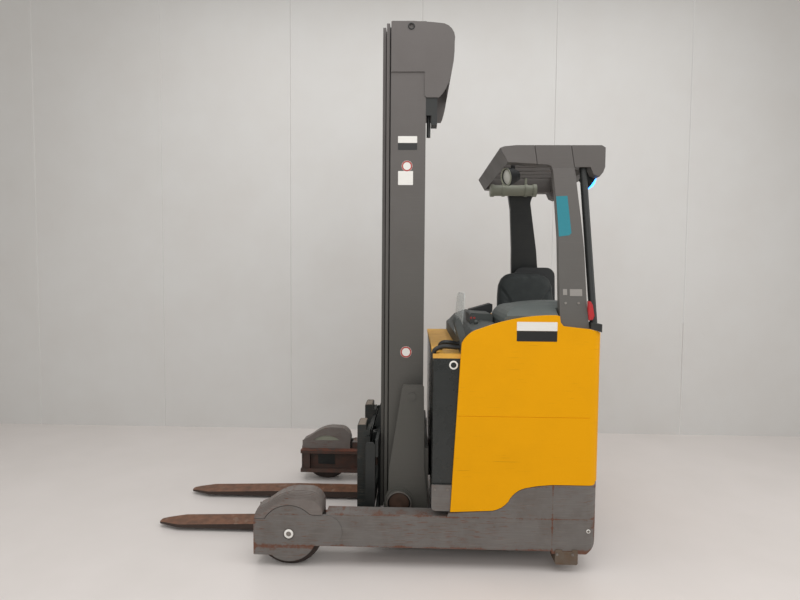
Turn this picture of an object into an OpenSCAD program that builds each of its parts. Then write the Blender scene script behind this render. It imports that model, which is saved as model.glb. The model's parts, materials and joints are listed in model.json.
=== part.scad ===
// Sit-on battery reach truck with a triplex mast, drawn at its real size.
// +X points forward to the fork tips, +Y to the truck's left, +Z up.
// The origin is on the floor, under the middle of the whole truck's box.

/* [Whole truck] */
// Overall width across the wheel arms
truck_w = 1270; // [1200:10:1350]
// Fork tip, ahead of the origin
tip_x = 1256; // [1200:5:1300]
// Rear end of the overhead guard, behind the origin
tail_x = -1256; // [-1290:2:-1240]
// Load wheel centre, ahead of the origin
load_x = 380; // [360:5:400]
// Load wheel centre to drive wheel centre
wheel_base = 1380; // [1340:5:1420]
// Outer width of the grey chassis corners and body panels
body_w = 1260; // [1240:5:1270]

/* [Wheels] */
// Diameter of each load wheel
load_d = 350; // [330:5:360]
// Width of each load wheel
load_w = 76; // [70:1:78]
// Diameter of the load wheel axles
axle_d = 50; // [40:1:60]
// Diameter of the drive wheel
drive_d = 343; // [320:1:350]
// Width of the drive wheel
drive_w = 114; // [90:1:120]
// Drive wheel centre, to the right of the middle
drive_y = -120; // [-160:5:-80]

/* [Wheel arms] */
// Width of one wheel arm
arm_w = 165; // [150:1:170]
// Front end of the arms
arm_front = 565; // [550:5:580]
// Underside of the arm's outer box
arm_low = 112; // [100:1:130]
// Top of the arm's outer box
arm_top = 280; // [270:1:300]
// Top of the roller channel on the arm's inner side
rail_top = 230; // [225:1:240]
// Underside of that roller channel
rail_low = 66; // [60:1:75]
// Thickness of the channel's flanges
rail_flange = 24; // [18:1:28]
// Thickness of the channel's web
rail_web = 12; // [8:1:14]
// Depth of the roller channel
rail_depth = 55; // [50:1:60]
// Thickness of the outer plate that carries the load axle
plate_t = 20; // [14:1:24]
// Thickness of the pressed wheel covers
cover_t = 5; // [3:0.5:6]

/* [Chassis and body] */
// Underside of the rear chassis
tub_low = 98; // [90:1:115]
// Top edge of the rear chassis
tub_top = 455; // [440:1:480]
// Rear face of the chassis
tub_rear = -1212; // [-1225:1:-1200]
// Joint between the arms and the rear chassis
tub_front = -976; // [-990:1:-960]
// Wall of the rear chassis
tub_wall = 22; // [15:1:30]
// Thickness of the yellow body panels
panel_t = 16; // [10:1:18]
// Seam height across the body panels
seam_z = 806; // [780:1:830]
// Floor of the footwell
floor_z = 500; // [470:5:540]

/* [Overhead guard] */
// Top of the guard
guard_top = 2209; // [2190:1:2225]
// Width across the guard's roof
guard_w = 925; // [900:5:950]
// Front edge of the guard's roof
guard_front = -705; // [-720:1:-690]
// Thickness of the pillars' plate section
pillar_t = 42; // [36:1:50]
// Number of bars along the roof
roof_bars = 6; // [4:1:8]

/* [Driver's place] */
// Middle of the seat along the truck
seat_x = -1030; // [-1035:5:-1000]
// Top of the seat cushion
seat_z = 1030; // [1000:5:1050]
// Width of the seat cushion
seat_w = 380; // [360:5:390]
// Width of the backrest
back_w = 410; // [390:5:420]
// Top of the backrest
back_z = 1564; // [1540:2:1570]
// Diameter of the steering wheel
wheel_d = 190; // [170:5:210]

/* [Battery] */
// Outer face of a body panel to the battery's side
battery_gap = 18.5; // [17.5:0.5:30]
// Length of the battery along the truck
battery_x = 353; // [340:1:356]
// Height of the battery with its trough
battery_h = 784; // [770:1:790]
// Front face of the battery
battery_front = -362; // [-362:1:-355]

/* [Mast] */
// Outer width of the outer mast
mast_w = 680; // [660:2:690]
// Height of the lowered mast
mast_h = 2907; // [2890:1:2920]
// Front face of the outer mast rails
mast_front = -121; // [-125:1:-119]
// Depth of the outer rails' side plate
mast_depth = 193; // [190:1:195]
// Clear height of a rail between its flanges
rail_clear = 111; // [108:1:112]
// Thickness of a rail's flange
flange_t = 17; // [14:0.5:18]
// Thickness of a rail's web
web_t = 12; // [10:0.5:14]
// How far each stage stands in front of the one outside it
stage_step = 25; // [24:0.5:26]
// Running gap between neighbouring stages, side to side
stage_gap = 6; // [5.5:0.5:7]
// Length of each stage's lift
stage_lift = 2100; // [1900:50:2150]
// Lift of the fork carriage inside the inner mast
free_lift = 2000; // [1800:50:2050]
// Travel of the reach carriage
reach_travel = 550; // [500:10:552]

/* [Fork carriage] */
// Width of the lift frame
carriage_w = 830; // [800:5:850]
// Distance between the middles of the two forks
fork_gap = 460; // [400:5:480]
// Width of a fork
fork_w = 130; // [100:1:135]
// Thickness of a fork blade at its heel
fork_t = 40; // [35:1:45]
// Thickness of a fork's shank
shank_t = 52; // [44:1:54]
// Rear face of the shank
shank_x = 10; // [9:0.5:16]
// Top of the fork blade
fork_z = 56; // [48:1:60]
// Top of the shank
shank_top = 657; // [640:1:680]
// Side shift to each side
side_shift = 75; // [50:5:80]

/* [Hidden] */
$fn = 48;
half_w = truck_w / 2;
half_body = body_w / 2;
battery_y = body_w - 2 * battery_gap;
arm_in = half_w - arm_w;
drive_x = load_x - wheel_base;
hub_z = load_d / 2;

yellow = "#e0a80c";
warm_grey = "#6b6562";
chassis_grey = "#77736f";
plastic_grey = "#5d625f";
black = "#26292a";
rust_brown = "#8a5f42";
steel = "#9a9da0";

// An outline in side view, pulled across the truck from y0 to y1
module across(y0, y1) {
    translate([0, y1, 0]) rotate([90, 0, 0]) linear_extrude(y1 - y0) children();
}

// An outline in front view, pulled along the truck from x0 to x1
module along(x0, x1) {
    translate([x0, 0, 0]) rotate([90, 0, 90]) linear_extrude(x1 - x0) children();
}

// A copy on each side of the truck
module both() {
    children();
    mirror([0, 1, 0]) children();
}

module box(low, high) {
    translate(low) cube(high - low);
}

// A cylinder across the truck
module pin(x, y0, y1, z, d) {
    translate([x, y0, z]) rotate([-90, 0, 0]) cylinder(d = d, h = y1 - y0);
}

// A cylinder along the truck
module rod_x(x0, x1, y, z, d) {
    translate([x0, y, z]) rotate([0, 90, 0]) cylinder(d = d, h = x1 - x0);
}

function arc(c, r, a0, a1, n) =
    [for (i = [0 : n]) let (a = a0 + (a1 - a0) * i / n) c + r * [cos(a), sin(a)]];

// Middle of the circle through three points
function circum(a, b, c) = let (
    d = 2 * (a[0] * (b[1] - c[1]) + b[0] * (c[1] - a[1]) + c[0] * (a[1] - b[1])),
    aa = a * a, bb = b * b, cc = c * c)
    [(aa * (b[1] - c[1]) + bb * (c[1] - a[1]) + cc * (a[1] - b[1])) / d,
     (aa * (c[0] - b[0]) + bb * (a[0] - c[0]) + cc * (b[0] - a[0])) / d];

// Arc from a through b to c, in n steps
function bow(a, b, c, n) = let (
    m = circum(a, b, c),
    a0 = atan2(a[1] - m[1], a[0] - m[0]),
    a1 = atan2(c[1] - m[1], c[0] - m[0]),
    left = cross(b - a, c - b) > 0,
    sweep = left ? (a1 > a0 ? a1 - a0 : a1 - a0 + 360) : (a1 < a0 ? a1 - a0 : a1 - a0 - 360))
    arc(m, norm(a - m), a0, a0 + sweep, n);

// Rounded rectangle, drawn from its low corner to its high corner
module rounded(low, high, r) {
    polygon(concat(
        arc([high[0] - r, high[1] - r], r, 0, 90, 6),
        arc([low[0] + r, high[1] - r], r, 90, 180, 6),
        arc([low[0] + r, low[1] + r], r, 180, 270, 6),
        arc([high[0] - r, low[1] + r], r, 270, 360, 6)));
}

// Wheel arms: a roller channel inside, a box beam outside and a plate that holds the axle

bay_rear = load_x - load_d / 2 - 12;
bay_in = arm_in + rail_depth + 3;
skin_t = 14;
plate_r = 146;
cover_r = 148;
// Open joint between the covers and the axle plates
cover_joint = 3;
// Top of the axle plate behind its hub
dip_z = 274;
lobe_rear = load_x - 277;

// Shoulder line from the arms up to the rear chassis, front to rear, lifted by a gap
function shoulder(gap) = concat(
    [[-446, 300 + gap]],
    bow([-649, 313 + gap], [-704, 325 + gap], [-748, 360 + gap], 5),
    bow([-750, 362 + gap], [-785, 409 + gap], [-838, 436 + gap], 6),
    [[-900, 448 + gap], [tub_front, tub_top + gap]]);

// Side outline of the arm behind the wheel bay
module arm_outline() {
    polygon(concat(
        [[bay_rear - 4, arm_low], [bay_rear - 4, arm_top - 8], [bay_rear - 12, arm_top], [-440, arm_top]],
        shoulder(0),
        [[tub_front, arm_low]]));
}

// Outline of the outer plate that carries the load axle
module axle_plate_outline() {
    hub = [load_x, hub_z];
    polygon(concat(
        [[arm_front, 62], [arm_front, 252]],
        arc(hub, cover_r, 31, 134, 14),
        [[load_x - 117, dip_z + 2], [load_x - 126, dip_z]],
        bow([load_x - 192, dip_z], [lobe_rear, 200], [load_x - 230, 114], 12),
        arc(hub, plate_r, 205, 308, 14)));
}

module arm() {
    // Roller channel over the arm's full length
    along(tub_front, arm_front) difference() {
        translate([arm_in, rail_low]) square([rail_depth + 3, rail_top - rail_low]);
        translate([arm_in - 1, rail_low + rail_flange])
            square([rail_depth - rail_web + 1, rail_top - rail_low - 2 * rail_flange]);
    }
    // Box beam beside the channel
    box([tub_front, arm_in + rail_depth + 1, arm_low], [bay_rear - 4, half_w - 5, arm_top - 3]);
    // Outer skin, which rises to the rear chassis
    across(half_w - skin_t - 4, half_w - 4) arm_outline();
    // Closing plate in front of the wheel
    box([arm_front - 4, bay_in - 2, 66], [arm_front, half_w - plate_t + 1, 244]);
    // Axle plate
    across(half_w - plate_t, half_w) axle_plate_outline();
    // End stops of the reach travel, inside the channel
    box([arm_front - 66, arm_in + 12, rail_low + rail_flange - 1],
        [arm_front - 24, arm_in + rail_depth - rail_web + 1, rail_top - rail_flange + 1]);
}

module arm_body() {
    color(chassis_grey) difference() {
        arm();
        pin(load_x, arm_in - 5, half_w + 5, hub_z, axle_d + 0.6);
        // Recess round the axle's end
        pin(load_x, half_w - 3, half_w + 5, hub_z, axle_d + 12);
    }
}

module arm_left() {
    arm_body();
}

module arm_right() {
    mirror([0, 1, 0]) arm_body();
}

// Load wheels with their axles

module load_axles() {
    color(steel) both() pin(load_x, arm_in + rail_depth - rail_web + 1, half_w - 1, hub_z, axle_d);
}

module load_wheel_body() {
    translate([load_x, bay_in + 5, hub_z]) rotate([-90, 0, 0]) color("#4a2f22")
        rotate_extrude($fn = 96) polygon([
            [axle_d / 2 + 0.3, 4], [70, 4], [74, 12], [128, 12], [132, 3], [load_d / 2 - 4, 0],
            [load_d / 2, 5], [load_d / 2, load_w - 5], [load_d / 2 - 4, load_w], [132, load_w - 3],
            [128, load_w - 12], [74, load_w - 12], [70, load_w - 4], [axle_d / 2 + 0.3, load_w - 4]]);
}

module load_wheel_left() {
    load_wheel_body();
}

module load_wheel_right() {
    mirror([0, 1, 0]) load_wheel_body();
}

// Pressed cover over each load wheel, higher at its inner side

cover_front = arm_front - 4;
cover_rear = 206;
// Room round the load wheel inside its cover
wheel_gap = 5;
// Distance in from the side, and rise of the cover's outline there
cover_steps = [[1, -29], [3, -24], [7, -18], [12, -12], [19, -7], [28, -4], [42, -1]];

// Outline of the cover: its crest stands at 389 with no rise
module cover_outline(rise) {
    polygon(concat(
        [[cover_front, 252 + cover_joint], [cover_front - 3, 284 + min(rise, 0) / 2]],
        bow([cover_front - 14, 297 + rise], [cover_front - 66, 325 + rise], [cover_front - 100, 350 + rise], 3),
        bow([cover_front - 100, 350 + rise], [cover_front - 150, 376 + rise], [cover_front - 215, 389 + rise], 4),
        bow([cover_front - 270, 388 + rise], [cover_front - 330, 366 + rise], [cover_rear, 310 + rise / 2], 6),
        [[cover_rear, dip_z + cover_joint], [load_x - 126, dip_z + cover_joint],
            [load_x - 116, dip_z + 2 + cover_joint]],
        arc([load_x, hub_z], cover_r + cover_joint, 134, 31, 14)));
}

module wheel_cover_body() {
    cover_in = bay_in - 8;
    color(chassis_grey) difference() {
        union() {
            // The pressed edge rounds over from the side to the top
            for (step = cover_steps) across(cover_in, half_w - step[0]) cover_outline(step[1]);
            // Inner skirt, down to the roller channel
            box([cover_rear, cover_in, rail_top + 0.3], [cover_front, cover_in + cover_t, 290]);
        }
        // Hollow for the wheel, which follows it closely under the sloping face
        across(cover_in + cover_t, bay_in + 5 + load_w + wheel_gap) {
            translate([load_x, hub_z]) circle(r = load_d / 2 + wheel_gap + 1, $fn = 72);
            translate([load_x - load_d / 2 - wheel_gap - 1, 200]) square([load_d + 2 * wheel_gap, 60]);
        }
    }
}

module wheel_cover_left() {
    wheel_cover_body();
}

module wheel_cover_right() {
    mirror([0, 1, 0]) wheel_cover_body();
}

deck_z = 430;
deck_t = 18;
motor_d = 190;
step_z = 330;
step_y = [130, 520];

// Rear chassis: a U of thick walls around the drive wheel, with a cross beam to the arms

module tub_plan() {
    polygon(concat(
        arc([tub_rear + 70, body_w / 2 - 70], 70, 180, 90, 8),
        [[tub_front, body_w / 2], [tub_front, -body_w / 2]],
        arc([tub_rear + 70, -body_w / 2 + 70], 70, 270, 180, 8)));
}

// Outline of the chassis from the side, tucked in at its rear lower corner
module tub_side() {
    polygon(concat([[tub_front, tub_low], [tub_rear + 60, tub_low]],
        arc([tub_rear + 78, tub_low + 82], 78, 240, 180, 5),
        [[tub_rear, tub_top + 16], [tub_rear + 30, tub_top], [tub_front, tub_top]]));
}

module rear_frame() {
    well_r = norm([drive_d / 2, drive_w / 2]) + 6;
    color(chassis_grey) difference() {
        union() {
            difference() {
                intersection() {
                    translate([0, 0, tub_low]) linear_extrude(tub_top + 20 - tub_low) tub_plan();
                    across(-body_w / 2, body_w / 2) tub_side();
                }
                // Room under the deck and above it
                box([tub_rear + tub_wall, -body_w / 2 + tub_wall, 300],
                    [tub_front + 1, body_w / 2 - tub_wall, deck_z - deck_t]);
                box([tub_rear + tub_wall, -body_w / 2 + tub_wall, deck_z],
                    [tub_front + 1, body_w / 2 - tub_wall, 500]);
            }
            // Cross beam under the battery, between the arms
            box([tub_front - 1, -arm_in + 0.3, 120], [-720, arm_in - 0.3, 300]);
            // Riser of the entry step
            box([tub_rear + 40, step_y[0] - 20, 299], [tub_rear + 80, step_y[1] + 20, deck_z - 1]);
            box([tub_rear + 1, step_y[0] - 20, 290], [tub_rear + 50, step_y[1] + 20, step_z]);
        }
        // Open well for the drive wheel
        translate([drive_x, drive_y, 50]) cylinder(r = well_r, h = deck_z - deck_t - 50, $fn = 72);
        // Hole for the drive motor
        translate([drive_x, drive_y, 300]) cylinder(d = motor_d + 20, h = 200, $fn = 64);
        // Low entry step at the rear left corner
        box([tub_rear - 5, step_y[0], step_z], [tub_rear + 60, step_y[1], 500]);
    }
}

// Pads that catch the chassis when it leans, bolted under its rear corners
module rest_pads() {
    color(black) both() {
        across(half_body - 92, half_body + 4.5) polygon([[-1109, tub_low - 0.3], [-1109, 50], [-1103, 44],
            [-1000, 44], [-994, 50], [-994, tub_low - 0.3]]);
        across(half_body + 0.3, half_body + 4.5) polygon([[-1109, tub_low - 1], [-1109, 118], [-1103, 122],
            [-1080, 122], [-1080, 112], [-1030, 112], [-1030, 122], [-1000, 122], [-994, 118], [-994, tub_low - 1]]);
    }
}

// Yellow body panels

panel_rear = 1238;
panel_r = 60;

// Side outline of the left panel: swept top line, sloped front edge and stepped foot for the pillar
module left_outline() {
    polygon(concat(
        [[-455, 306], [-501, 1150]],
        bow([-503, 1178], [-540, 1226], [-595, 1253], 5),
        bow([-600, 1255], [-760, 1303], [-978, 1325], 7),
        [[-992, 1321], [-996, 1290], [-1012, 1270], [-1148, 1256], [tub_rear + 16, panel_rear + 5],
            [tub_rear, panel_rear]],
        [[tub_rear, tub_top + 19], [tub_rear + 30, tub_top + 3]],
        [for (i = [len(shoulder(3)) - 1 : -1 : 1]) shoulder(3)[i]]));
}

// The right panel is lower beside the seat
module right_outline() {
    polygon(concat(
        [[-455, 306], [-501, 1130], [-512, 1150], [-680, 1190]],
        [[-800, 1240], [tub_rear, panel_rear]],
        [[tub_rear, tub_top + 19], [tub_rear + 30, tub_top + 3]],
        [for (i = [len(shoulder(3)) - 1 : -1 : 1]) shoulder(3)[i]]));
}

module panel(y_out) {
    difference() {
        across(y_out - panel_t, y_out) children();
        // Seam
        box([tub_rear - 1, y_out - 2, seam_z - 1.5], [-400, y_out + 1, seam_z + 1.5]);
    }
    // Return along the rear edge, around the corner
    at = [tub_rear + panel_r, y_out - panel_r];
    translate([0, 0, tub_top + 19]) linear_extrude(panel_rear - 1 - tub_top - 19) difference() {
        polygon(concat(arc(at, panel_r, 180, 90, 6), [at + [0, -50], at + [-panel_r, -50]]));
        polygon(concat(arc(at, panel_r - panel_t, 180, 90, 6), [at + [1, -51], at + [panel_t - panel_r, -51]]));
    }
}

module rounded_rear(y_out) {
    difference() {
        children();
        // Rounds the panel's rear corner
        difference() {
            box([tub_rear - 2, y_out - panel_r - 1, 300], [tub_rear + panel_r, y_out + 2, panel_rear + 162]);
            translate([tub_rear + panel_r, y_out - panel_r, 299]) cylinder(r = panel_r, h = panel_rear - 38);
        }
    }
}

module side_panel_left() {
    color(yellow) rounded_rear(body_w / 2) panel(body_w / 2) left_outline();
}

module side_panel_right() {
    color(yellow) mirror([0, 1, 0]) rounded_rear(body_w / 2) panel(body_w / 2) right_outline();
}

// Rear panel behind the seat, beside the entry
module rear_panel() {
    color(yellow) difference() {
        box([tub_rear, -body_w / 2 + 110.5, tub_top + 20], [tub_rear + panel_t, 60, 886]);
        box([tub_rear - 1, -body_w / 2 + 100, seam_z - 1.5], [tub_rear + 2, 70, seam_z + 1.5]);
    }
}

// Footwell: floor, front wall and kick plate between the seat base and the left panel
well_wall = 12;
footwell_y = [100.3, body_w / 2 - tub_wall - 0.5];
footwell_x = [tub_rear + tub_wall + 0.5, -716];
body_rim = 900;
module footwell() {
    color(black) difference() {
        box([footwell_x[0], footwell_y[0], deck_z + 0.3], [footwell_x[1], footwell_y[1], body_rim]);
        // Open top and rear
        box([tub_rear, footwell_y[0] + well_wall, floor_z],
            [footwell_x[1] - well_wall, footwell_y[1] - well_wall, body_rim + 10]);
        // Room under the floor
        box([tub_rear, footwell_y[0] + well_wall, deck_z - 1],
            [footwell_x[1] - well_wall, footwell_y[1] - well_wall, floor_z - well_wall]);
        // Cut back over the entry step and in the body's rounded corner
        box([tub_rear, step_y[0], deck_z - 1], [tub_rear + panel_r + 2, footwell_y[1] + 1, body_rim + 1]);
    }
}

module pedals() {
    color(black) for (x = [-960, -860]) along(x - 34, x + 34) translate([footwell_y[1] - 87.5, floor_z])
        polygon([[-40, 0.3], [30, 0.3], [30, 14], [14, 20], [70, 128], [60, 136], [-6, 14], [-40, 14]]);
}

// Seat on its closed base over the drive unit

module seat_base() {
    color(plastic_grey) difference() {
        box([footwell_x[0], -footwell_y[1], deck_z + 0.3], [footwell_x[1], footwell_y[0] - 0.3, body_rim]);
        translate([drive_x, drive_y, 400]) cylinder(d = motor_d + 20, h = 360, $fn = 64);
        // The body's rounded rear corner
        box([tub_rear, -footwell_y[1] - 1, deck_z - 1],
            [tub_rear + panel_r + 2, -footwell_y[1] + panel_r, body_rim + 1]);
    }
    color(black) box([seat_x - 150, -270, body_rim - 1], [seat_x + 150, 40, seat_z - cushion_t - 0.3]);
}

cushion_t = 110;
back_y = 330 - half_body;
back_t = 85;
back_lean = 6;
module seat_cushion() {
    low = seat_z - cushion_t;
    color("#33383a") intersection() {
        translate([0, 0, low]) linear_extrude(cushion_t)
            rounded([seat_x - seat_w / 2, back_y + 10], [seat_x + seat_w / 2, back_y + 430], 70);
        along(seat_x - 300, seat_x + 300) polygon(concat(
            [[back_y + 10, low], [back_y + 390, low]],
            bow([back_y + 412, low + 20], [back_y + 422, seat_z - 40], [back_y + 380, seat_z], 6),
            [[back_y + 80, seat_z - 12], [back_y + 10, seat_z - 4]]));
    }
}

// Places a piece on the backrest's slope, measured from the base's top
module on_back() {
    translate([seat_x, back_y, body_rim]) rotate([back_lean, 0, 0]) children();
}

// Outline of the backrest from the front: wide shoulders under a low round top
module back_outline() {
    top = back_z - body_rim;
    half = back_w / 2;
    polygon(concat(
        arc([85 - half, 190], 85, 180, 270, 5),
        arc([half - 85, 190], 85, 270, 360, 5),
        bow([half, 400], [half - 18, top - 70], [half - 95, top - 6], 6),
        bow([half - 100, top - 4], [0, top + 2], [100 - half, top - 4], 4),
        bow([95 - half, top - 6], [18 - half, top - 70], [-half, 400], 6)));
}

module seat_back() {
    color("#33383a") on_back() across(-back_t, 0) back_outline();
}

// The shell stands out beside the backrest at the rear
shell_side = 222;
module seat_shell() {
    color(black) on_back() across(-back_t - 30, -back_t - 0.3) {
        rounded([-165, 13], [165, 400], 30);
        rounded([-shell_side, 262], [60, back_z - body_rim + 29], 60);
    }
}

// Grey hood with the steering console, rising from the left panel's top edge
wheel_at = [-1060, back_y + 362, 1268];
hood_y = [back_y + 470, body_w / 2 - panel_t - 0.3];
hood_z = 1180;
hood_front = -718;
module dash_hood() {
    color(plastic_grey) difference() {
        union() {
            intersection() {
                across(hood_y[0], hood_y[1]) polygon(concat(
                    [[hood_front, hood_z], [hood_front, 1272]],
                    bow([hood_front + 2, 1282], [hood_front - 22, 1334], [-806, 1362], 6),
                    bow([-830, 1367], [-980, 1386], [-1110, 1380], 5), [[-1120, 1300], [-1120, hood_z]]));
                along(-1130, -700) polygon(concat([[hood_y[0], hood_z], [hood_y[0], 1330]],
                    bow([hood_y[0] + 4, 1350], [hood_y[0] + 130, 1390], [hood_y[1], 1318], 8), [[hood_y[1], hood_z]]));
            }
            // Shelf that carries the steering column
            box([wheel_at[0] - 50, wheel_at[1] - 30, 1190], [wheel_at[0] + 50, hood_y[0] + 1, 1225]);
        }
        // Hollow
        box([-1108, hood_y[0] + 12, hood_z - 1], [hood_front - 14, hood_y[1] - 12, 1300]);
        // Room for the guard's pillar
        box([-1180, half_body - 90, hood_z - 1], [-990, half_body + 10, 1400]);
    }
}

module steering_wheel() {
    rim_r = 13;
    color(black) translate(wheel_at) {
        rotate_extrude($fn = 64) translate([wheel_d / 2 - rim_r, 0]) circle(r = rim_r, $fn = 24);
        translate([0, 0, -8]) cylinder(r = 34, h = 16);
        for (a = [0, 120, 240]) rotate(a) box([20, -11, -6], [wheel_d / 2 - rim_r, 11, 5]);
        translate([0, 0, 1225.5 - wheel_at[2]]) cylinder(r = 14, h = wheel_at[2] - 1225.5);
    }
}

// Right-hand console between the driver and the battery, with the lever pod on top
module control_console() {
    deck = battery_z + battery_h + 16.3;
    color(plastic_grey) {
        across(-body_w / 2 + panel_t + 1, body_w / 2 - panel_t - 0.5) polygon([
            [-716, deck], [-712, 1200], [-700, 1262], [-640, 1270], [-560, 1240], [-520, 1196], [-500, 1182],
            [-500, deck]]);
        // Lever pod with its sloped top
        across(60, 300) polygon([[-706, 1250], [-706, 1296], [-696, 1304], [-586, 1310], [-576, 1302],
            [-578, 1238]]);
        // Upright fin at the front left corner
        across(430, body_w / 2 - panel_t - 0.5) polygon([
            [-500, 1176], [-497, 1182], [-468, 1276], [-476, 1300], [-488, 1306], [-500, 1290], [-520, 1225],
            [-532, 1196]]);
    }
    // Arm rest behind the pod, and the thumb lever in front of it
    color(black) {
        across(-30, 59) polygon([[-616, 1250], [-598, 1312], [-728, 1350], [-740, 1346], [-740, 1302],
            [-700, 1260]]);
        translate([-600, 400, 1240]) cylinder(r = 9, h = 26);
        translate([-600, 400, 1266]) sphere(r = 12);
    }
}

module display_screen() {
    color("#c9d6d8", 0.4) translate([-509, 300, 1193.2]) rotate([0, -5, 6]) along(0, 5)
        rounded([-110, 0], [110, 232], 50);
}

// Battery in its trough, the tray that carries it and the deck over it

battery_z = 320;
module battery() {
    color(black) box([battery_front - battery_x, -battery_y / 2, battery_z],
        [battery_front, battery_y / 2, battery_z + battery_h - 6]);
}

module battery_tray() {
    front = battery_front + 4;
    foot = battery_front - 10;
    color(chassis_grey) {
        both() {
            // Corner plate below the battery's side
            across(body_w / 2 - 14, body_w / 2 - 4) polygon(concat(
                [[-453, 306], [-460.5, 443], [front, 443]], arc([front - 22, 330], 22, 0, -90, 4), [[-440, 308]]));
            box([-445, arm_in, 306], [foot, body_w / 2 - 13, battery_z - 0.3]);
            // Bearers on the arms' channels
            box([battery_front - battery_x, arm_in + 6, rail_top + 0.3], [foot, arm_in + 46, 302]);
        }
        box([battery_front - battery_x, -arm_in - 50, 301], [foot, arm_in + 50, battery_z - 0.3]);
    }
}

module battery_cover() {
    low = battery_z + battery_h - 5.7;
    color("#e3b24a") difference() {
        box([battery_front - battery_x + 2, -battery_y / 2 - 2, low],
            [battery_front + 4, battery_y / 2 + 2, battery_z + battery_h + 16]);
        // Notch for the lower lead
        box([battery_front - 28, lead_y, low - 1], [battery_front + 5, lead_y + 70, low + 30]);
    }
}

// Two thick leads from the battery to the socket under the console
lead_r = 12;
lead_y = half_body - 100;
upper_lead = [[-499.7, lead_y - 30, 1160], [-484, lead_y - 30, 1160], [-462, lead_y - 26, 1164],
    [-438, lead_y - 24, 1167], [-418, lead_y - 30, 1165], [-406, lead_y - 48, 1156], [-402, lead_y - 66, 1145],
    [-402, lead_y - 76, 1133], [-402, lead_y - 76, 1120.4]];
lower_lead = [[-499.7, lead_y + 30, 1148], [-484, lead_y + 30, 1148], [-440, lead_y + 34, 1152],
    [-412, lead_y + 36, 1152], [-390, lead_y + 38, 1147], [-371, lead_y + 38, 1136], [-366, lead_y + 37, 1124],
    [-366, lead_y + 36, 1112], [-366, lead_y + 36, 1098.4]];

// Direction along a route at point i
function heading(route, i) =
    let (a = route[max(i - 1, 0)], b = route[min(i + 1, len(route) - 1)], d = b - a) d / norm(d);

// Ring of points round a route's point
function ring(route, i, r, sides) =
    let (t = heading(route, i), u0 = cross(t, [0, 1, 0.01]), u = u0 / norm(u0), v = cross(t, u))
    [for (k = [0 : sides - 1]) route[i] + r * (cos(360 * k / sides) * u + sin(360 * k / sides) * v)];

module swept_tube(route, r, sides) {
    n = len(route);
    polyhedron(
        points = [for (i = [0 : n - 1]) each ring(route, i, r, sides)],
        faces = concat(
            [[for (k = [0 : sides - 1]) k]],
            [for (i = [0 : n - 2], k = [0 : sides - 1])
                let (k2 = (k + 1) % sides) [i * sides + k, (i + 1) * sides + k, (i + 1) * sides + k2, i * sides + k2]],
            [[for (k = [sides - 1 : -1 : 0]) (n - 1) * sides + k]]));
}

module battery_leads() {
    color(black) {
        swept_tube(upper_lead, lead_r, 10);
        swept_tube(lower_lead, lead_r, 10);
    }
}

// Overhead guard

// Outlines of the pillars' foot, shaft and head from the side: the left one is narrower than the right one
head_top = [[-903, 2112], [-888, guard_top], [-1076, guard_top], [-1095, 2096]];
left_pillar = concat([[-1140, body_rim + 0.3], [-997, body_rim + 0.3], [-1000, 1420], [-1003, 1720],
    [-995, 1940], [-984, 2078], [-976, 2100], [-960, 2108]], head_top,
    [[-1101, 2060], [-1110, 1950], [-1122, 1820], [-1133, 1650], [-1138, 1350], [-1147, 1246], [-1140, 1232]]);
right_pillar = concat([[-1140, body_rim + 0.3], [-962, body_rim + 0.3], [-962, 1500], [-952, 1720],
    [-930, 1990], [-914, 2070]], head_top,
    [[-1074, 2062], [-1066, 2030], [-1127, 1700], [-1146, 1550], [-1146, 1246], [-1140, 1232]]);

// Both pillars stand upright up to the rim and then lean in to the roof
module pillar() {
    foot = half_body - panel_t - 0.3;
    head = guard_w / 2;
    color(warm_grey) intersection() {
        across(0, half_body) children();
        along(-1300, -800) polygon([[foot - pillar_t, body_rim], [foot, body_rim], [foot, panel_rear],
            [head, 2090], [head, guard_top], [head - pillar_t, guard_top], [head - pillar_t, 2090],
            [foot - pillar_t, panel_rear]]);
    }
}

module pillar_left() {
    pillar() polygon(left_pillar);
}

module pillar_right() {
    mirror([0, 1, 0]) pillar() polygon(right_pillar);
}

// Roof: side beams, sloped front header, rear header and lengthwise bars
module roof_side() {
    polygon([[guard_front, guard_top - 14], [-728, guard_top - 6], [-790, guard_top], [-1236, guard_top],
        [tail_x, guard_top - 12], [tail_x, 2096], [-1246, 2068], [-1228, 2046], [-1198, 2058],
        [-1180, 2096], [-1095, 2096], [-903, 2112], [-749, 2121]]);
}

beam_w = 70;
bar_w = 26;
bar_low = guard_top - 34;
function bar_at(i) = (guard_w / 2 - beam_w) * (2 * i / (roof_bars + 1) - 1);

module guard_roof() {
    half = guard_w / 2;
    joint = 3;
    color(warm_grey) difference() {
        union() {
            both() across(half - beam_w, half) roof_side();
            // Front header
            across(-half, half) polygon([[guard_front, guard_top - 14], [-728, guard_top - 6], [-790, guard_top],
                [-790, guard_top - 24], [-749, 2121]]);
            // Rear header
            across(-half, half) polygon([[tail_x, guard_top - 12], [-1236, guard_top], [-1190, guard_top],
                [-1190, 2100], [tail_x, 2100]]);
            for (i = [1 : roof_bars])
                box([-1191, bar_at(i) - bar_w / 2, bar_low], [-780, bar_at(i) + bar_w / 2, guard_top]);
        }
        // The pillars' heads are let into the side beams, with an open joint before and behind each
        both() across(half - pillar_t - 0.3, half + 1)
            polygon([[-1095 - joint, 2030], [-1095 - joint, 2096], [-1076 - joint, guard_top + 1],
                [-888 + joint, guard_top + 1], [-903 + joint, 2112], [-903 + joint, 2030]]);
    }
}

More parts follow.
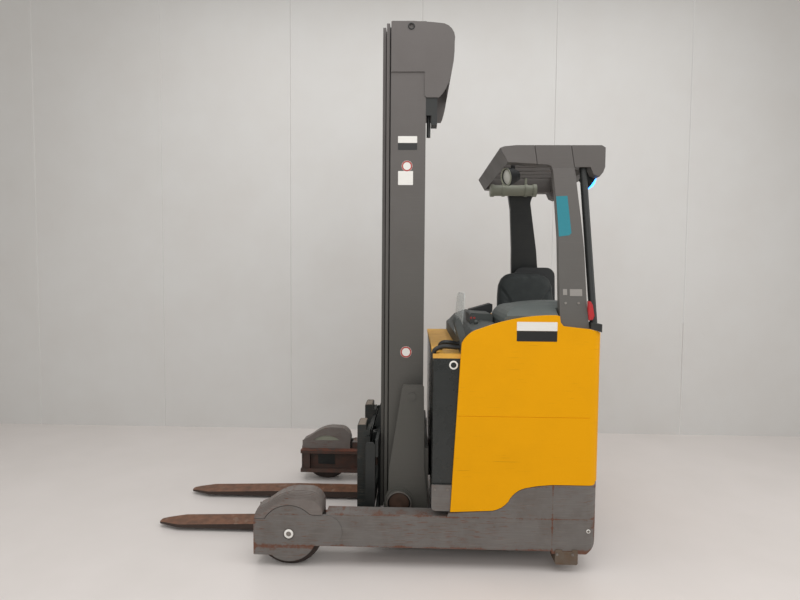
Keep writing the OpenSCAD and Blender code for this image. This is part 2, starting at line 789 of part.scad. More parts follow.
// Rail from a cap on the rear left corner of the body up to the roof
module grab_rail() {
    color(black) {
        across(half_body - 82, half_body - 1) polygon([[-1148.4, 1256.5], [tub_rear + 16, panel_rear + 5.5],
            [tub_rear + 9, panel_rear + 3.5], [tub_rear + 9, 1282], [-1148.4, 1290]]);
        hull() {
            translate([-1180, half_body - 58, 1262]) cylinder(d = rail_d, h = 1, $fn = 24);
            translate([-1151, 428, 2094.7]) cylinder(d = rail_d, h = 1, $fn = 24);
        }
    }
}

rail_d = 38;

// Round lamp that faces the forks, hung from a roof bar
lamp_y = bar_at(roof_bars);
module work_lamp() {
    color(black) {
        translate([-800, lamp_y, 2080]) rotate([0, 100, 22])
            rotate_extrude() polygon([[0, -40], [30, -40], [44, -10], [50, 24], [50, 32], [44, 32], [42, 24],
                [0, 24]]);
        box([-818, lamp_y - 12, 2100], [-798, lamp_y + 12, bar_low - 0.3]);
    }
}

// Tubular lamp under a roof bar on the far side
tube_y = bar_at(1);
tube_z = 2092;
module tube_lamp() {
    color(steel) {
        rod_x(-1045, -785, tube_y, tube_z, 72);
        rod_x(-1068, -1044, tube_y, tube_z, 84);
        rod_x(-787, -763, tube_y, tube_z, 84);
        for (x = [-1000, -850]) {
            rod_x(x - 9, x + 9, tube_y, tube_z, 82);
            box([x - 6, tube_y - 10, tube_z + 20], [x + 6, tube_y + 10, bar_low - 0.3]);
        }
    }
}

// Safety light under the roof's rear header, turned to the floor behind the truck
module rear_light() {
    color(black) {
        box([-1216, 310, 2040], [-1192, 350, 2099.7]);
        translate([-1226, 330, 2036]) rotate([0, -123, 0]) translate([0, 0, -60])
            cylinder(r1 = 24, r2 = 50, h = 60);
    }
}

// Drive unit: turntable, gearbox leg with the wheel's axle, motor on top

module drive_unit() {
    turn_z = deck_z - deck_t - 0.3;
    color(black) translate([drive_x, drive_y, 0]) {
        translate([0, 0, turn_z - 32]) cylinder(r = 160, h = 32, $fn = 72);
        translate([0, 0, turn_z - 1]) cylinder(d = motor_d, h = 330, $fn = 64);
        // Gearbox leg beside the wheel
        box([-70, -drive_w / 2 - 58, drive_d / 2], [70, -drive_w / 2 - 8, turn_z - 31]);
        pin(0, -drive_w / 2 - 58, -drive_w / 2 - 8, drive_d / 2, 210);
        pin(0, -drive_w / 2 - 9, drive_w / 2 - 38, drive_d / 2, 60);
    }
}

module drive_wheel() {
    translate([drive_x, drive_y - drive_w / 2, drive_d / 2]) rotate([-90, 0, 0]) color(black)
        rotate_extrude($fn = 96) polygon([
            [30.3, 0], [90, 0], [96, 14], [120, 14], [126, 0], [drive_d / 2 - 5, 0], [drive_d / 2, 5],
            [drive_d / 2, drive_w - 5], [drive_d / 2 - 5, drive_w], [126, drive_w], [120, drive_w - 24],
            [60, drive_w - 24], [60, drive_w - 34], [30.3, drive_w - 34]]);
}

// Reach carriage: side plates between the arms, a cross plate behind the mast, four rollers

roller_d = rail_top - rail_low - 2 * rail_flange - 1;
roller_z = (rail_top + rail_low) / 2;
roller_x = [-476, -116];
car_y = [arm_in - 44, arm_in - 18];
mast_rear = mast_front - mast_depth;

trunnion = [-186, 261];
trunnion_d = 126;
shoe_y = [car_y[0] - 22, car_y[0] - 8];

module reach_carriage() {
    color(warm_grey) {
        both() {
            difference() {
                across(car_y[0], car_y[1]) {
                    polygon([[roller_x[0] - 60, 95], [roller_x[0] - 66, 205], [roller_x[0] - 50, 222], [-80, 222],
                        [-50, 200], [-50, 95], [-70, 80], [roller_x[0] - 40, 80]]);
                    translate(trunnion) circle(r = trunnion_d / 2 + 7);
                }
                // Recess that shows the trunnion's end
                pin(trunnion[0], car_y[1] - 18, car_y[1] + 1, trunnion[1], trunnion_d);
            }
            // Trunnion that carries the mast
            pin(trunnion[0], shoe_y[0] - 12, car_y[0] + 1, trunnion[1], trunnion_d);
        }
        // Cross plate and foot beam behind and under the mast
        box([mast_rear - 32, -shoe_y[0] + 2, 90], [mast_rear - 8, shoe_y[0] - 2, 560]);
        box([mast_rear - 32, -car_y[1], 90], [-130, car_y[1], 120]);
    }
}

module reach_rollers() {
    color(rust_brown) both() for (x = roller_x) {
        pin(x, car_y[1] + 0.3, arm_in + 1, roller_z, 60);
        pin(x, arm_in, arm_in + 36, roller_z, roller_d);
    }
}

// Tapered brackets that hold the mast to the reach carriage

module mast_shoes() {
    half = mast_w / 2;
    color(warm_grey) both() {
        difference() {
            union() {
                across(shoe_y[0], shoe_y[1]) polygon([[-199, 905], [-207, 917], [-308, 917], [-318, 906], [-324, 455],
                    [-347, 227], [-347, 130], [-124, 130], [-124, 268], [-128, 440]]);
                // Hub round the trunnion
                pin(trunnion[0], shoe_y[0] - 10, car_y[0] - 0.3, trunnion[1], trunnion_d + 34);
                // Box that carries the plate on the rail
                across(half + 0.3, shoe_y[0] + 1)
                    polygon([[-219, 880], [-300, 880], [-300, 360], [-150, 360], [-150, 440]]);
                pin(-253, shoe_y[1] - 1, shoe_y[1] + 5, 852, 44);
            }
            pin(trunnion[0], shoe_y[0] - 20, car_y[0] + 10, trunnion[1], trunnion_d + 0.6);
        }
    }
}

// Mast stages: nested rails, each a step forward and inward of the last

// Outer face, front and rear of a stage's rail, for stage 0 outside to stage 2 inside
flange_w = 60;
function stage_y(i) = mast_w / 2 - i * (flange_w + stage_gap);
function stage_front(i) = mast_front + i * stage_step;
function stage_rear(i) = stage_front(i) - rail_clear - 2 * flange_t;
web_in = 46;

// One rail of a stage, seen from above, on the left side
module rail_plan(i) {
    y = stage_y(i);
    f = stage_front(i);
    r = stage_rear(i);
    out = i == 0 ? 0 : web_in;
    union() {
        // Web
        translate([r, y - web_t]) square([f - r, web_t]);
        // Flanges reach in for the next stage's rollers, and out into the last stage's channel
        translate([r, y - flange_w]) square([flange_t, flange_w + out]);
        translate([f - flange_t, y - flange_w]) square([flange_t, flange_w + out]);
        // The outer rail's side plate runs back past the lift cylinder
        if (i == 0) translate([mast_rear, y - web_t]) square([f - mast_rear, web_t]);
    }
}

// Ties of a stage, in the plane of its rear flanges: [low, high] of each
ties = [
    [[130, 300], [1180, 1290], [mast_h - 992, mast_h - 902], [mast_h - 332, mast_h - 192]],
    [[165, 300], [1180, 1290], [mast_h - 192, mast_h - 72]],
    [[200, 330], [mast_h - 192, mast_h - 62]]
];

module mast_stage(i, low, high) {
    both() translate([0, 0, low]) linear_extrude(high - low) rail_plan(i);
    for (t = ties[i])
        box([stage_rear(i), -stage_y(i) + 1, t[0]], [stage_rear(i) + flange_t, stage_y(i) - 1, t[1]]);
}

mast_roller_d = rail_clear - 1;
mast_foot = 120.3;
module mast_roller(i, z) {
    // A roller outside stage i's web, in the channel of the stage outside it
    y = stage_y(i);
    x = (stage_front(i - 1) + stage_rear(i - 1)) / 2;
    pin(x, y - 1, y + 8, z, 50);
    pin(x, y + 7.5, y + 45, z, mast_roller_d);
}

module outer_mast() {
    color(warm_grey) difference() {
        mast_stage(0, mast_foot, mast_h);
        // The rear flange stops under the middle stage's ears
        both() box([stage_rear(0) - 1, mast_w / 2 - flange_w - 1, mast_h - 54],
            [stage_rear(0) + flange_t + 1, mast_w / 2 - web_t - 0.5, mast_h + 1]);
    }
}

cyl_x = stage_rear(0) - 25.3;
cyl_y = mast_w / 2 - web_t - 27;
ear_z = mast_h - 46;
gland_z = mast_h - 442;

module middle_mast() {
    color(warm_grey) difference() {
        union() {
            mast_stage(1, 150, mast_h - 2);
            both() {
                // Ear over the lift rod
                box([cyl_x - 18, stage_y(1) - 30, ear_z], [stage_rear(1) + 1, stage_y(1) + web_in - 6, ear_z + 20]);
                mast_roller(1, 230);
            }
        }
    }
}

module inner_mast() {
    color(warm_grey) {
        mast_stage(2, 160, mast_h + 6);
        both() mast_roller(2, 240);
    }
}

// Main lift cylinders behind the outer rails, with their rods under the middle stage's ears
module lift_cylinders() {
    color(black) both() difference() {
        union() {
            translate([cyl_x, cyl_y, 150]) cylinder(d = 48, h = gland_z - 150);
            translate([cyl_x, cyl_y, gland_z]) cylinder(d = 50, h = 40);
            box([cyl_x - 20, cyl_y - 20, mast_foot], [cyl_x + 20, cyl_y + 20, 152]);
        }
        translate([cyl_x, cyl_y, 200]) cylinder(d = 37, h = gland_z - 150);
    }
}

module lift_rods() {
    color(steel) both() translate([cyl_x, cyl_y, 260]) cylinder(d = 36, h = ear_z - 260);
}

// Free lift cylinder on the inner stage, and the chain head on its rod

free_x = -148;
head_z = 1720;
chain_y = [-76, 76];
chain_r = [39, 46];
chain_w = 20;
module free_lift_cylinder() {
    color(black) difference() {
        union() {
            translate([free_x, 0, 330]) cylinder(d = 84, h = 1240);
            box([stage_rear(2) + flange_t + 0.3, -60, 240], [free_x + 50, 60, 332]);
            translate([free_x, 0, 1520]) cylinder(d = 92, h = 50);
            // Chain anchors beside the gland
            for (y = chain_y)
                box([free_x - chain_r[0] + 0.3, min(y - 10, 0), 1470], [free_x - 8, max(y + 10, 0), 1500]);
        }
        translate([free_x, 0, 380]) cylinder(d = 57, h = 1300);
    }
}

module chain_head() {
    color(steel) {
        translate([free_x, 0, 400]) cylinder(d = 56, h = head_z - 400);
        box([free_x - 24, -92, head_z - 22], [free_x + 24, 92, head_z + 22]);
    }
    // Pulleys and the leaf chains over them
    color(black) for (y = chain_y) {
        pin(free_x, y - 14, y + 14, head_z, 2 * chain_r[0] - 0.5);
        across(y - chain_w / 2, y + chain_w / 2) {
            difference() {
                translate([free_x, head_z]) circle(r = chain_r[1], $fn = 48);
                translate([free_x, head_z]) circle(r = chain_r[0] - 0.5, $fn = 48);
                translate([free_x - 60, head_z - 60]) square([120, 60]);
            }
            for (side = [[-chain_r[1], 500], [chain_r[0], 605]])
                translate([free_x + side[0], side[1]]) square([chain_r[1] - chain_r[0], head_z - side[1]]);
        }
    }
}

// Fork carriage: lift frame on rollers, tilt frame, side shifter and forks

frame_x = [stage_front(2) + 5, stage_front(2) + 21];
tilt_x = [frame_x[1] + 14, frame_x[1] + 30];
bar_x = [tilt_x[1] + 7, shank_x - 0.4];
tilt_pin = [(tilt_x[0] + tilt_x[1]) / 2, 560];
frame_z = 600;

rail_in = stage_y(2) - flange_w;
module lift_frame() {
    half = carriage_w / 2;
    color("#2b312f") {
        // Cross plates in front of the inner mast
        box([frame_x[0], -half + 10, 120], [frame_x[1], half - 10, 210]);
        box([frame_x[0], -half + 10, 505], [frame_x[1], half - 10, frame_z]);
        both() box([frame_x[0], rail_in - 28, 200], [frame_x[1], rail_in + 30, 510]);
        // Chain anchors
        for (y = chain_y)
            box([free_x + chain_r[1] + 0.3, y - 10, frame_z - 2], [frame_x[1], y + 10, frame_z + 40]);
        // Tilt lugs
        both() for (y = [150, 190]) across(y, y + 12) difference() {
            polygon([[frame_x[1] - 1, 530], [frame_x[1] - 1, 588], [tilt_x[1] + 2, 580], [tilt_x[1] + 2, 538]]);
            translate(tilt_pin) circle(d = 16.6, $fn = 32);
        }
    }
}

// Plates on the ends of the lift frame
module carriage_sides() {
    half = carriage_w / 2;
    x = frame_x[1] + 0.3;
    color("#2b312f") both() across(half - 14, half)
        polygon([[x, 130], [x, 576], [x + 10, 588], [-8, 588], [3, 578], [3, 240], [-26, 130]]);
}

// Brackets with the rollers that run in the inner mast, and a brace sloping down to the frame's front
module carriage_rollers() {
    back = stage_rear(2) + flange_t + 6;
    roller_at = (stage_front(2) + stage_rear(2)) / 2;
    color("#2b312f") both() {
        across(rail_in - 24, rail_in - 8) polygon([[back, 150], [back, 640], [-100, 752], [-72, 758],
            [-26, 618], [-26, frame_z + 0.3], [frame_x[0] - 0.3, frame_z + 0.3], [frame_x[0] - 0.3, 150]]);
        for (z = [215, 575]) {
            pin(roller_at, rail_in - 9, rail_in + 6, z, 46);
            pin(roller_at, rail_in + 5, rail_in + 42, z, mast_roller_d);
        }
    }
}

module tilt_frame() {
    color("#2b312f") {
        box([tilt_x[0], -330, 150], [tilt_x[1], 330, 230]);
        box([tilt_x[0], -330, 440], [tilt_x[1], 330, 520]);
        both() {
            box([tilt_x[0], 225, 220], [tilt_x[1], 330, 450]);
            box([tilt_x[0] - 2, 165, 515], [tilt_x[1] + 1.5, 187, 582]);
            // Slide pads for the side shifter
            box([tilt_x[1] - 1, 110, 500], [bar_x[0] - 0.3, 320, 519]);
            box([tilt_x[1] - 1, 110, 152], [bar_x[0] - 0.3, 320, 188]);
        }
    }
    color(steel) both() pin(tilt_pin[0], 149, 203, tilt_pin[1], 16);
}

module side_shifter() {
    color("#2b312f") {
        // Fork bars
        box([bar_x[0], -312, 498], [bar_x[1], 312, 590]);
        box([bar_x[0], -312, 110], [bar_x[1], 312, 190]);
        both() box([bar_x[0], 70, 185], [bar_x[1], 130, 500]);
    }
}

// One fork: tapered blade with a pointed tip, curved heel, shank with its hooks
module fork(y) {
    heel_x = shank_x + shank_t;
    color(rust_brown) translate([0, y, 0]) {
        intersection() {
            across(-fork_w / 2, fork_w / 2) polygon(concat(
                [[tip_x, fork_z - 24], [tip_x, fork_z - 34]], [[heel_x + 500, fork_z - fork_t]],
                arc([shank_x + 34, fork_z - fork_t + 34], 34, 270, 180, 5),
                [[shank_x, shank_top - 8], [shank_x + 8, shank_top], [heel_x - 8, shank_top], [heel_x, shank_top - 8]],
                [[heel_x, fork_z + 20]], arc([heel_x + 20, fork_z + 20], 20, 180, 270, 4),
                [[heel_x + 480, fork_z], [tip_x - 40, fork_z - 20]]));
            linear_extrude(shank_top + 10) polygon([[-100, -fork_w / 2], [tip_x - 130, -fork_w / 2], [tip_x - 8, -24],
                [tip_x, -14], [tip_x, 14], [tip_x - 8, 24], [tip_x - 130, fork_w / 2], [-100, fork_w / 2]]);
        }
        // Hooks over and under the fork bars
        across(-fork_w / 2, fork_w / 2) {
            polygon([[shank_x + 1, 591], [shank_x + 1, 622], [bar_x[0] + 2, 622], [bar_x[0] + 2, 600],
                [bar_x[0] + 8, 591]]);
            polygon([[shank_x + 1, 109], [shank_x + 1, 84], [bar_x[0] + 4, 84], [bar_x[0] + 4, 109]]);
        }
    }
}

module fork_left() {
    fork(fork_gap / 2);
}

module fork_right() {
    fork(-fork_gap / 2);
}

// Top covers of the mast: curved side plates joined at the back, drawn from the mast's top down
cover_back = concat(bow([-387, -12], [-452, -42], [-468, -112], 6), bow([-468, -120], [-462, -225], [-438, -329], 5));

// Side plate, longer on the left side
module cover_plate(low_end) {
    polygon(concat(
        [[mast_front - 1, -8], [mast_front - 5, 0], [-241, -1], [-339, -7]], cover_back, low_end,
        [[-306, -272], [mast_front - 1, -272]]));
}

cover_low = [
    concat(bow([-436, -333], [-418, -370], [-390, -406], 4), [[-383, -411], [-318, -411], [-307, -400]]),
    [[-428, -350], [-318, -350], [-307, -340]]
];

module mast_covers() {
    half = mast_w / 2;
    color(warm_grey) translate([0, 0, mast_h]) {
        for (side = [0, 1]) mirror([0, side, 0]) across(half + 0.3, half + 6) difference() {
            cover_plate(cover_low[side]);
            translate([-231, -29]) circle(d = 26);
        }
        // Curved back wall
        across(-half - 1, half + 1) polygon(concat(
            [[-380, -11]], bow([-387, -12], [-452, -42], [-468, -112], 6), [[-464, -213], [-458, -213]],
            bow([-461, -112], [-446, -47], [-385, -19], 6), [[-380, -18]]));
    }
}

// Hose guide behind the left outer rail, bolted to the rear edge of its side plate
module hose_guide() {
    half = mast_w / 2;
    back = mast_rear - 63;
    face = mast_rear - 31;
    low = mast_h - 557;
    color(black) {
        box([back, half - 78, low], [face, half, low + 210]);
        box([face - 1, half - web_t, low + 50], [mast_rear - 0.3, half, low + 150]);
        // Hose in its clamp
        translate([face + 14, cyl_y, low - 60]) cylinder(d = 22, h = 250);
        box([face - 1, cyl_y - 15, low + 90], [face + 22, cyl_y + 15, low + 130]);
    }
}

arm_left();
arm_right();
rear_frame();
rest_pads();
wheel_cover_left();
wheel_cover_right();
load_axles();
load_wheel_left();
load_wheel_right();
side_panel_left();
side_panel_right();
rear_panel();
footwell();
pedals();
seat_base();
seat_cushion();
seat_back();
seat_shell();
dash_hood();
steering_wheel();
control_console();
display_screen();
battery();
battery_tray();
battery_cover();
battery_leads();
pillar_left();
pillar_right();
guard_roof();
grab_rail();
work_lamp();
tube_lamp();
rear_light();
drive_unit();
drive_wheel();
reach_carriage();
reach_rollers();
mast_shoes();
outer_mast();
mast_covers();
hose_guide();
lift_cylinders();
middle_mast();
lift_rods();
inner_mast();
free_lift_cylinder();
chain_head();
lift_frame();
carriage_sides();
carriage_rollers();
tilt_frame();
side_shifter();
fork_left();
fork_right();
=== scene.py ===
"""Looks for a sit-on battery reach truck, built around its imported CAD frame."""

from __future__ import annotations

import json
import logging
import math
from dataclasses import dataclass, field
from enum import Enum

import bmesh
import bpy
import numpy as np
from mathutils import Matrix, Vector

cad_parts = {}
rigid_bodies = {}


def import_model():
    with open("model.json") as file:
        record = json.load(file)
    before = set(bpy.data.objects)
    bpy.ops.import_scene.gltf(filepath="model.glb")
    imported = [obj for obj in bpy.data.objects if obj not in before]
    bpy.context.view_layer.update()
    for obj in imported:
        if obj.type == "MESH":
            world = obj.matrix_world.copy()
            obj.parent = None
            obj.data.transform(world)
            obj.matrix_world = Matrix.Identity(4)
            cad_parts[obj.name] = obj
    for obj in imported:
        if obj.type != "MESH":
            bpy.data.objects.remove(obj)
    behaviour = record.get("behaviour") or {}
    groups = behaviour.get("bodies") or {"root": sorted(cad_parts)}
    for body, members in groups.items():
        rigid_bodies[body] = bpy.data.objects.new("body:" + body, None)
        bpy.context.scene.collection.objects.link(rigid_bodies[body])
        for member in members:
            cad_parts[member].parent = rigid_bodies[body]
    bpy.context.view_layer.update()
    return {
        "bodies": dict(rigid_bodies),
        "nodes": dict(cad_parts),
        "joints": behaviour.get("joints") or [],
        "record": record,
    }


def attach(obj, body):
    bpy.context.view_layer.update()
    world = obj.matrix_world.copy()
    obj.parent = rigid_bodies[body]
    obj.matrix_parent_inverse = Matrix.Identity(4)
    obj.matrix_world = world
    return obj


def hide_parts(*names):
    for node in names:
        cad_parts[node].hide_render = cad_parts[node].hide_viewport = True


log = logging.getLogger("reach_truck")
MM = 0.001
QUARTER = math.radians(90)
SIDES = ((1, "left"), (-1, "right"))
# Edges flatter than these angles are shaded smooth, on added pieces and on CAD nodes
PIECE_ANGLE = math.radians(38)
NODE_ANGLE = math.radians(32)

Tree = bpy.types.NodeTree
Node = bpy.types.Node
Socket = bpy.types.NodeSocket
Material = bpy.types.Material
Piece = bpy.types.Object
Shape = bmesh.types.BMesh
Pair = tuple[float, float]
Place = tuple[float, float, float]


class Body(Enum):
    """CAD bodies that the added pieces ride on."""

    CHASSIS = "chassis"
    REACH = "reach"


class Axis(Enum):
    """Axes of the shared frame that wear bands lie across: forward and up."""

    X = 0
    Z = 2


# Small tools for colours, nodes and meshes


def linear(code: str, alpha: float = 1.0) -> tuple[float, float, float, float]:
    """Turn an sRGB hex colour to linear values.

    Args:
        code: Colour such as "#d99e06".
        alpha: Opacity.

    Returns:
        Linear red, green, blue and alpha.
    """
    parts = [int(code[i : i + 2], 16) / 255 for i in (1, 3, 5)]
    curve = [c / 12.92 if c <= 0.04045 else ((c + 0.055) / 1.055) ** 2.4 for c in parts]
    return (curve[0], curve[1], curve[2], alpha)


def add(
    tree: Tree,
    kind: str,
    links: dict | None = None,
    inputs: dict | None = None,
    **settings: object,
) -> Node:
    """Add a node with its settings, input values and links.

    Args:
        tree: Node tree that gets the node.
        kind: Blender's type name of the node.
        links: Output sockets by the name or number of the input they feed.
        inputs: Values by the name or number of the input.
        settings: Properties of the node.

    Returns:
        The new node.
    """
    node = tree.nodes.new(kind)
    for name, value in settings.items():
        setattr(node, name, value)
    for key, value in (inputs or {}).items():
        node.inputs[key].default_value = value
    for key, socket in (links or {}).items():
        tree.links.new(socket, node.inputs[key])
    return node


def mapped(tree: Tree, value: Socket, low: float, high: float, a: float, b: float) -> Socket:
    """Map a value's range low to high onto a to b, clamped."""
    node = add(tree, "ShaderNodeMapRange", {0: value}, {1: low, 2: high, 3: a, 4: b})
    return node.outputs[0]


def mixed(tree: Tree, share: Socket, first: object, second: object) -> Socket:
    """Mix two colours, each a linear colour or a socket, by a share."""
    node = add(tree, "ShaderNodeMix", {0: share}, data_type="RGBA")
    for slot, colour in ((6, first), (7, second)):
        if isinstance(colour, Socket):
            tree.links.new(colour, node.inputs[slot])
        else:
            node.inputs[slot].default_value = colour
    return node.outputs[2]


def combined(tree: Tree, how: str, first: Socket, second: object) -> Socket:
    """Combine two values with a math node, the second a number or a socket."""
    node = add(tree, "ShaderNodeMath", {0: first}, operation=how)
    if isinstance(second, Socket):
        tree.links.new(second, node.inputs[1])
    else:
        node.inputs[1].default_value = second
    return node.outputs[0]


def started(name: str) -> tuple[Material, Tree, Node, Socket]:
    """Start a material.

    Args:
        name: Name of the material.

    Returns:
        The material, its tree, its main shader and the object coordinates.
    """
    material = bpy.data.materials.new(name)
    material.use_nodes = True
    tree = material.node_tree
    shader = next(n for n in tree.nodes if n.type == "BSDF_PRINCIPLED")
    place = add(tree, "ShaderNodeTexCoord").outputs["Object"]
    return material, tree, shader, place


def noise(tree: Tree, place: Socket, size_mm: float, detail: float = 4.0) -> Socket:
    """Noise whose features are about size_mm across."""
    values = {"Scale": 1 / (size_mm * MM), "Detail": detail, "Roughness": 0.6}
    return add(tree, "ShaderNodeTexNoise", {"Vector": place}, values).outputs[0]


def streaks(tree: Tree, place: Socket, long_mm: float, fine_mm: float) -> Socket:
    """Noise drawn out along the truck into streaks."""
    along, up = 1 / (long_mm * MM), 1 / (fine_mm * MM)
    stretch = add(tree, "ShaderNodeMapping", {"Vector": place}, {"Scale": (along, along, up)})
    node = add(tree, "ShaderNodeTexNoise", {"Vector": stretch.outputs[0]}, {"Scale": 1.0, "Detail": 3.0})
    return node.outputs[0]


def roughened(tree: Tree, shader: Node, height: Socket, depth_mm: float, strength: float) -> None:
    """Give the shader a bump from a height."""
    values = {"Distance": depth_mm * MM, "Strength": strength}
    bump = add(tree, "ShaderNodeBump", {"Height": height}, values)
    tree.links.new(bump.outputs[0], shader.inputs["Normal"])


def tinted(tree: Tree, shader: Node, share: Socket, plain: str, other: str) -> None:
    """Give the shader a base colour mixed from two hex colours by a share."""
    tree.links.new(mixed(tree, share, linear(plain), linear(other)), shader.inputs["Base Color"])


def clouded(tree: Tree, shader: Node, cloud: Socket, least: float, spread: float) -> None:
    """Let the shader's roughness rise from its least value where the cloud is thick."""
    rough = combined(tree, "ADD", mapped(tree, cloud, 0.3, 0.7, 0.0, spread), least)
    tree.links.new(rough, shader.inputs["Roughness"])


# Finishes


@dataclass(frozen=True)
class Band:
    """A stripe across one axis in which wear gathers. Sizes are in millimetres."""

    axis: Axis
    centre: float
    half: float
    gain: float

    def mask(self, tree: Tree, split: Node) -> Socket:
        """Strength of the stripe, from the split coordinates."""
        away = combined(tree, "SUBTRACT", split.outputs[self.axis.value], self.centre * MM)
        away = combined(tree, "ABSOLUTE", away, 0.0)
        return mapped(tree, away, 0.0, self.half * MM, self.gain, 0.0)


@dataclass(frozen=True)
class WornPaint:
    """Sprayed paint on steel: dull, clouded by dirt, streaked by rubbing, worn through at its edges."""

    name: str
    paint: str
    dirt: str
    rub: str
    bare: str
    roughness: float = 0.5
    cloud_mm: float = 90.0
    streak_mm: float = 5.0
    dirt_share: float = 0.5
    rub_share: float = 0.3
    worn_from: float = 0.7
    bands: tuple[Band, ...] = ()
    low_colour: str | None = None
    low_z: Pair = (0.7, 1.5)
    scratch_share: float = 0.0
    scratch_from: float = 0.6
    scratch_mm: Pair = (45.0, 2.6)
    specular: float = 0.5

    def make(self) -> Material:
        """Build the material."""
        material, tree, shader, place = started(self.name)
        split = add(tree, "ShaderNodeSeparateXYZ", {0: place})
        cloud = noise(tree, place, self.cloud_mm, 6)
        speck = noise(tree, place, 9, 4)
        streak = streaks(tree, place, 160, self.streak_mm)
        colour: object = linear(self.paint)
        # Below the top of low_z the colour blends towards low_colour, fully so at its bottom
        if self.low_colour:
            rise = mapped(tree, split.outputs[2], self.low_z[0], self.low_z[1], 0.0, 1.0)
            colour = mixed(tree, rise, linear(self.low_colour), linear(self.paint))
        dirty = mapped(tree, cloud, 0.42, 0.72, 0.0, self.dirt_share)
        rubbed = mapped(tree, streak, 0.56, 0.72, 0.0, self.rub_share)
        colour = mixed(tree, dirty, colour, linear(self.dirt))
        colour = mixed(tree, rubbed, colour, linear(self.rub))
        if self.scratch_share:
            scratch = streaks(tree, place, *self.scratch_mm)
            start = self.scratch_from
            scratch = mapped(tree, scratch, start, start + 0.05, 0.0, self.scratch_share)
            patch = mapped(tree, noise(tree, place, 240, 3), 0.42, 0.6, 0.1, 1.0)
            colour = mixed(tree, combined(tree, "MULTIPLY", scratch, patch), colour, linear(self.bare))
        wear = combined(tree, "MULTIPLY", cloud, 0.45)
        wear = combined(tree, "ADD", wear, combined(tree, "MULTIPLY", speck, 0.3))
        wear = combined(tree, "ADD", wear, combined(tree, "MULTIPLY", streak, 0.25))
        for band in self.bands:
            wear = combined(tree, "ADD", wear, band.mask(tree, split))
        worn = mapped(tree, wear, self.worn_from, self.worn_from + 0.09, 0.0, 0.85)
        colour = mixed(tree, worn, colour, linear(self.bare))
        tree.links.new(colour, shader.inputs["Base Color"])
        rough = combined(tree, "ADD", mapped(tree, cloud, 0.3, 0.7, 0.0, 0.12), self.roughness)
        rough = combined(tree, "ADD", rough, combined(tree, "MULTIPLY", worn, 0.25))
        tree.links.new(rough, shader.inputs["Roughness"])
        shader.inputs["Specular IOR Level"].default_value = self.specular
        roughened(tree, shader, combined(tree, "SUBTRACT", speck, worn), 0.5, 0.25)
        return material


@dataclass(frozen=True)
class MouldedPlastic:
    """Injection-moulded ABS: even colour with a fine matt grain that scatters the light."""

    name: str
    colour: str
    worn: str
    roughness: float = 0.55
    grain_mm: float = 1.6

    def make(self) -> Material:
        """Build the material."""
        material, tree, shader, place = started(self.name)
        cloud = noise(tree, place, 70, 4)
        # The real grain is about 0.4 mm, drawn coarser so that it shows
        grain = noise(tree, place, self.grain_mm, 2)
        tinted(tree, shader, mapped(tree, cloud, 0.4, 0.75, 0.0, 0.6), self.colour, self.worn)
        clouded(tree, shader, cloud, self.roughness, 0.1)
        roughened(tree, shader, grain, 0.2, 0.3)
        return material


@dataclass(frozen=True)
class SeatCloth:
    """Woven polyester over foam: soft sheen at its edges and a plain weave."""

    name: str
    colour: str
    worn: str
    thread_mm: float = 3.0

    def make(self) -> Material:
        """Build the material."""
        material, tree, shader, place = started(self.name)
        # The real threads are about 1 mm, drawn at 3 mm so that they show
        weave = None
        for direction in ("X", "Z"):
            wave = add(
                tree,
                "ShaderNodeTexWave",
                {"Vector": place},
                {"Scale": 0.31 / (self.thread_mm * MM), "Distortion": 0.4, "Detail": 1.0},
                bands_direction=direction,
            )
            height = wave.outputs["Fac"]
            weave = height if weave is None else combined(tree, "MAXIMUM", weave, height)
        cloud = noise(tree, place, 60, 5)
        tinted(tree, shader, mapped(tree, cloud, 0.4, 0.7, 0.0, 0.7), self.colour, self.worn)
        shader.inputs["Roughness"].default_value = 0.82
        shader.inputs["Sheen Weight"].default_value = 0.25
        shader.inputs["Sheen Roughness"].default_value = 0.5
        roughened(tree, shader, weave, 0.3, 0.35)
        return material


@dataclass(frozen=True)
class Steel:
    """Bare or browned steel: forged or turned, with rust in its pores and bright rubbed patches."""

    name: str
    colour: str
    rust: str
    rubbed: str
    metallic: float = 0.7
    roughness: float = 0.45
    rust_share: float = 0.7

    def make(self) -> Material:
        """Build the material."""
        material, tree, shader, place = started(self.name)
        cloud = noise(tree, place, 45, 6)
        speck = noise(tree, place, 6, 4)
        streak = streaks(tree, place, 140, 7)
        rusted = mapped(tree, cloud, 0.35, 0.68, 0.0, self.rust_share)
        colour = mixed(tree, rusted, linear(self.colour), linear(self.rust))
        rubbed = mapped(tree, combined(tree, "MULTIPLY", streak, 0.5), 0.34, 0.5, 0.0, 0.75)
        colour = mixed(tree, rubbed, colour, linear(self.rubbed))
        tree.links.new(colour, shader.inputs["Base Color"])
        shader.inputs["Metallic"].default_value = self.metallic
        clouded(tree, shader, cloud, self.roughness, 0.25)
        roughened(tree, shader, speck, 0.35, 0.3)
        return material


@dataclass(frozen=True)
class Polymer:
    """Cast polyurethane or rubber: dark, dull, with floor dust on its rim."""

    name: str
    colour: str
    dust: str
    roughness: float = 0.7

    def make(self) -> Material:
        """Build the material."""
        material, tree, shader, place = started(self.name)
        cloud = noise(tree, place, 30, 6)
        speck = noise(tree, place, 3, 3)
        tinted(tree, shader, mapped(tree, cloud, 0.4, 0.7, 0.0, 0.55), self.colour, self.dust)
        shader.inputs["Roughness"].default_value = self.roughness
        roughened(tree, shader, speck, 0.3, 0.3)
        return material


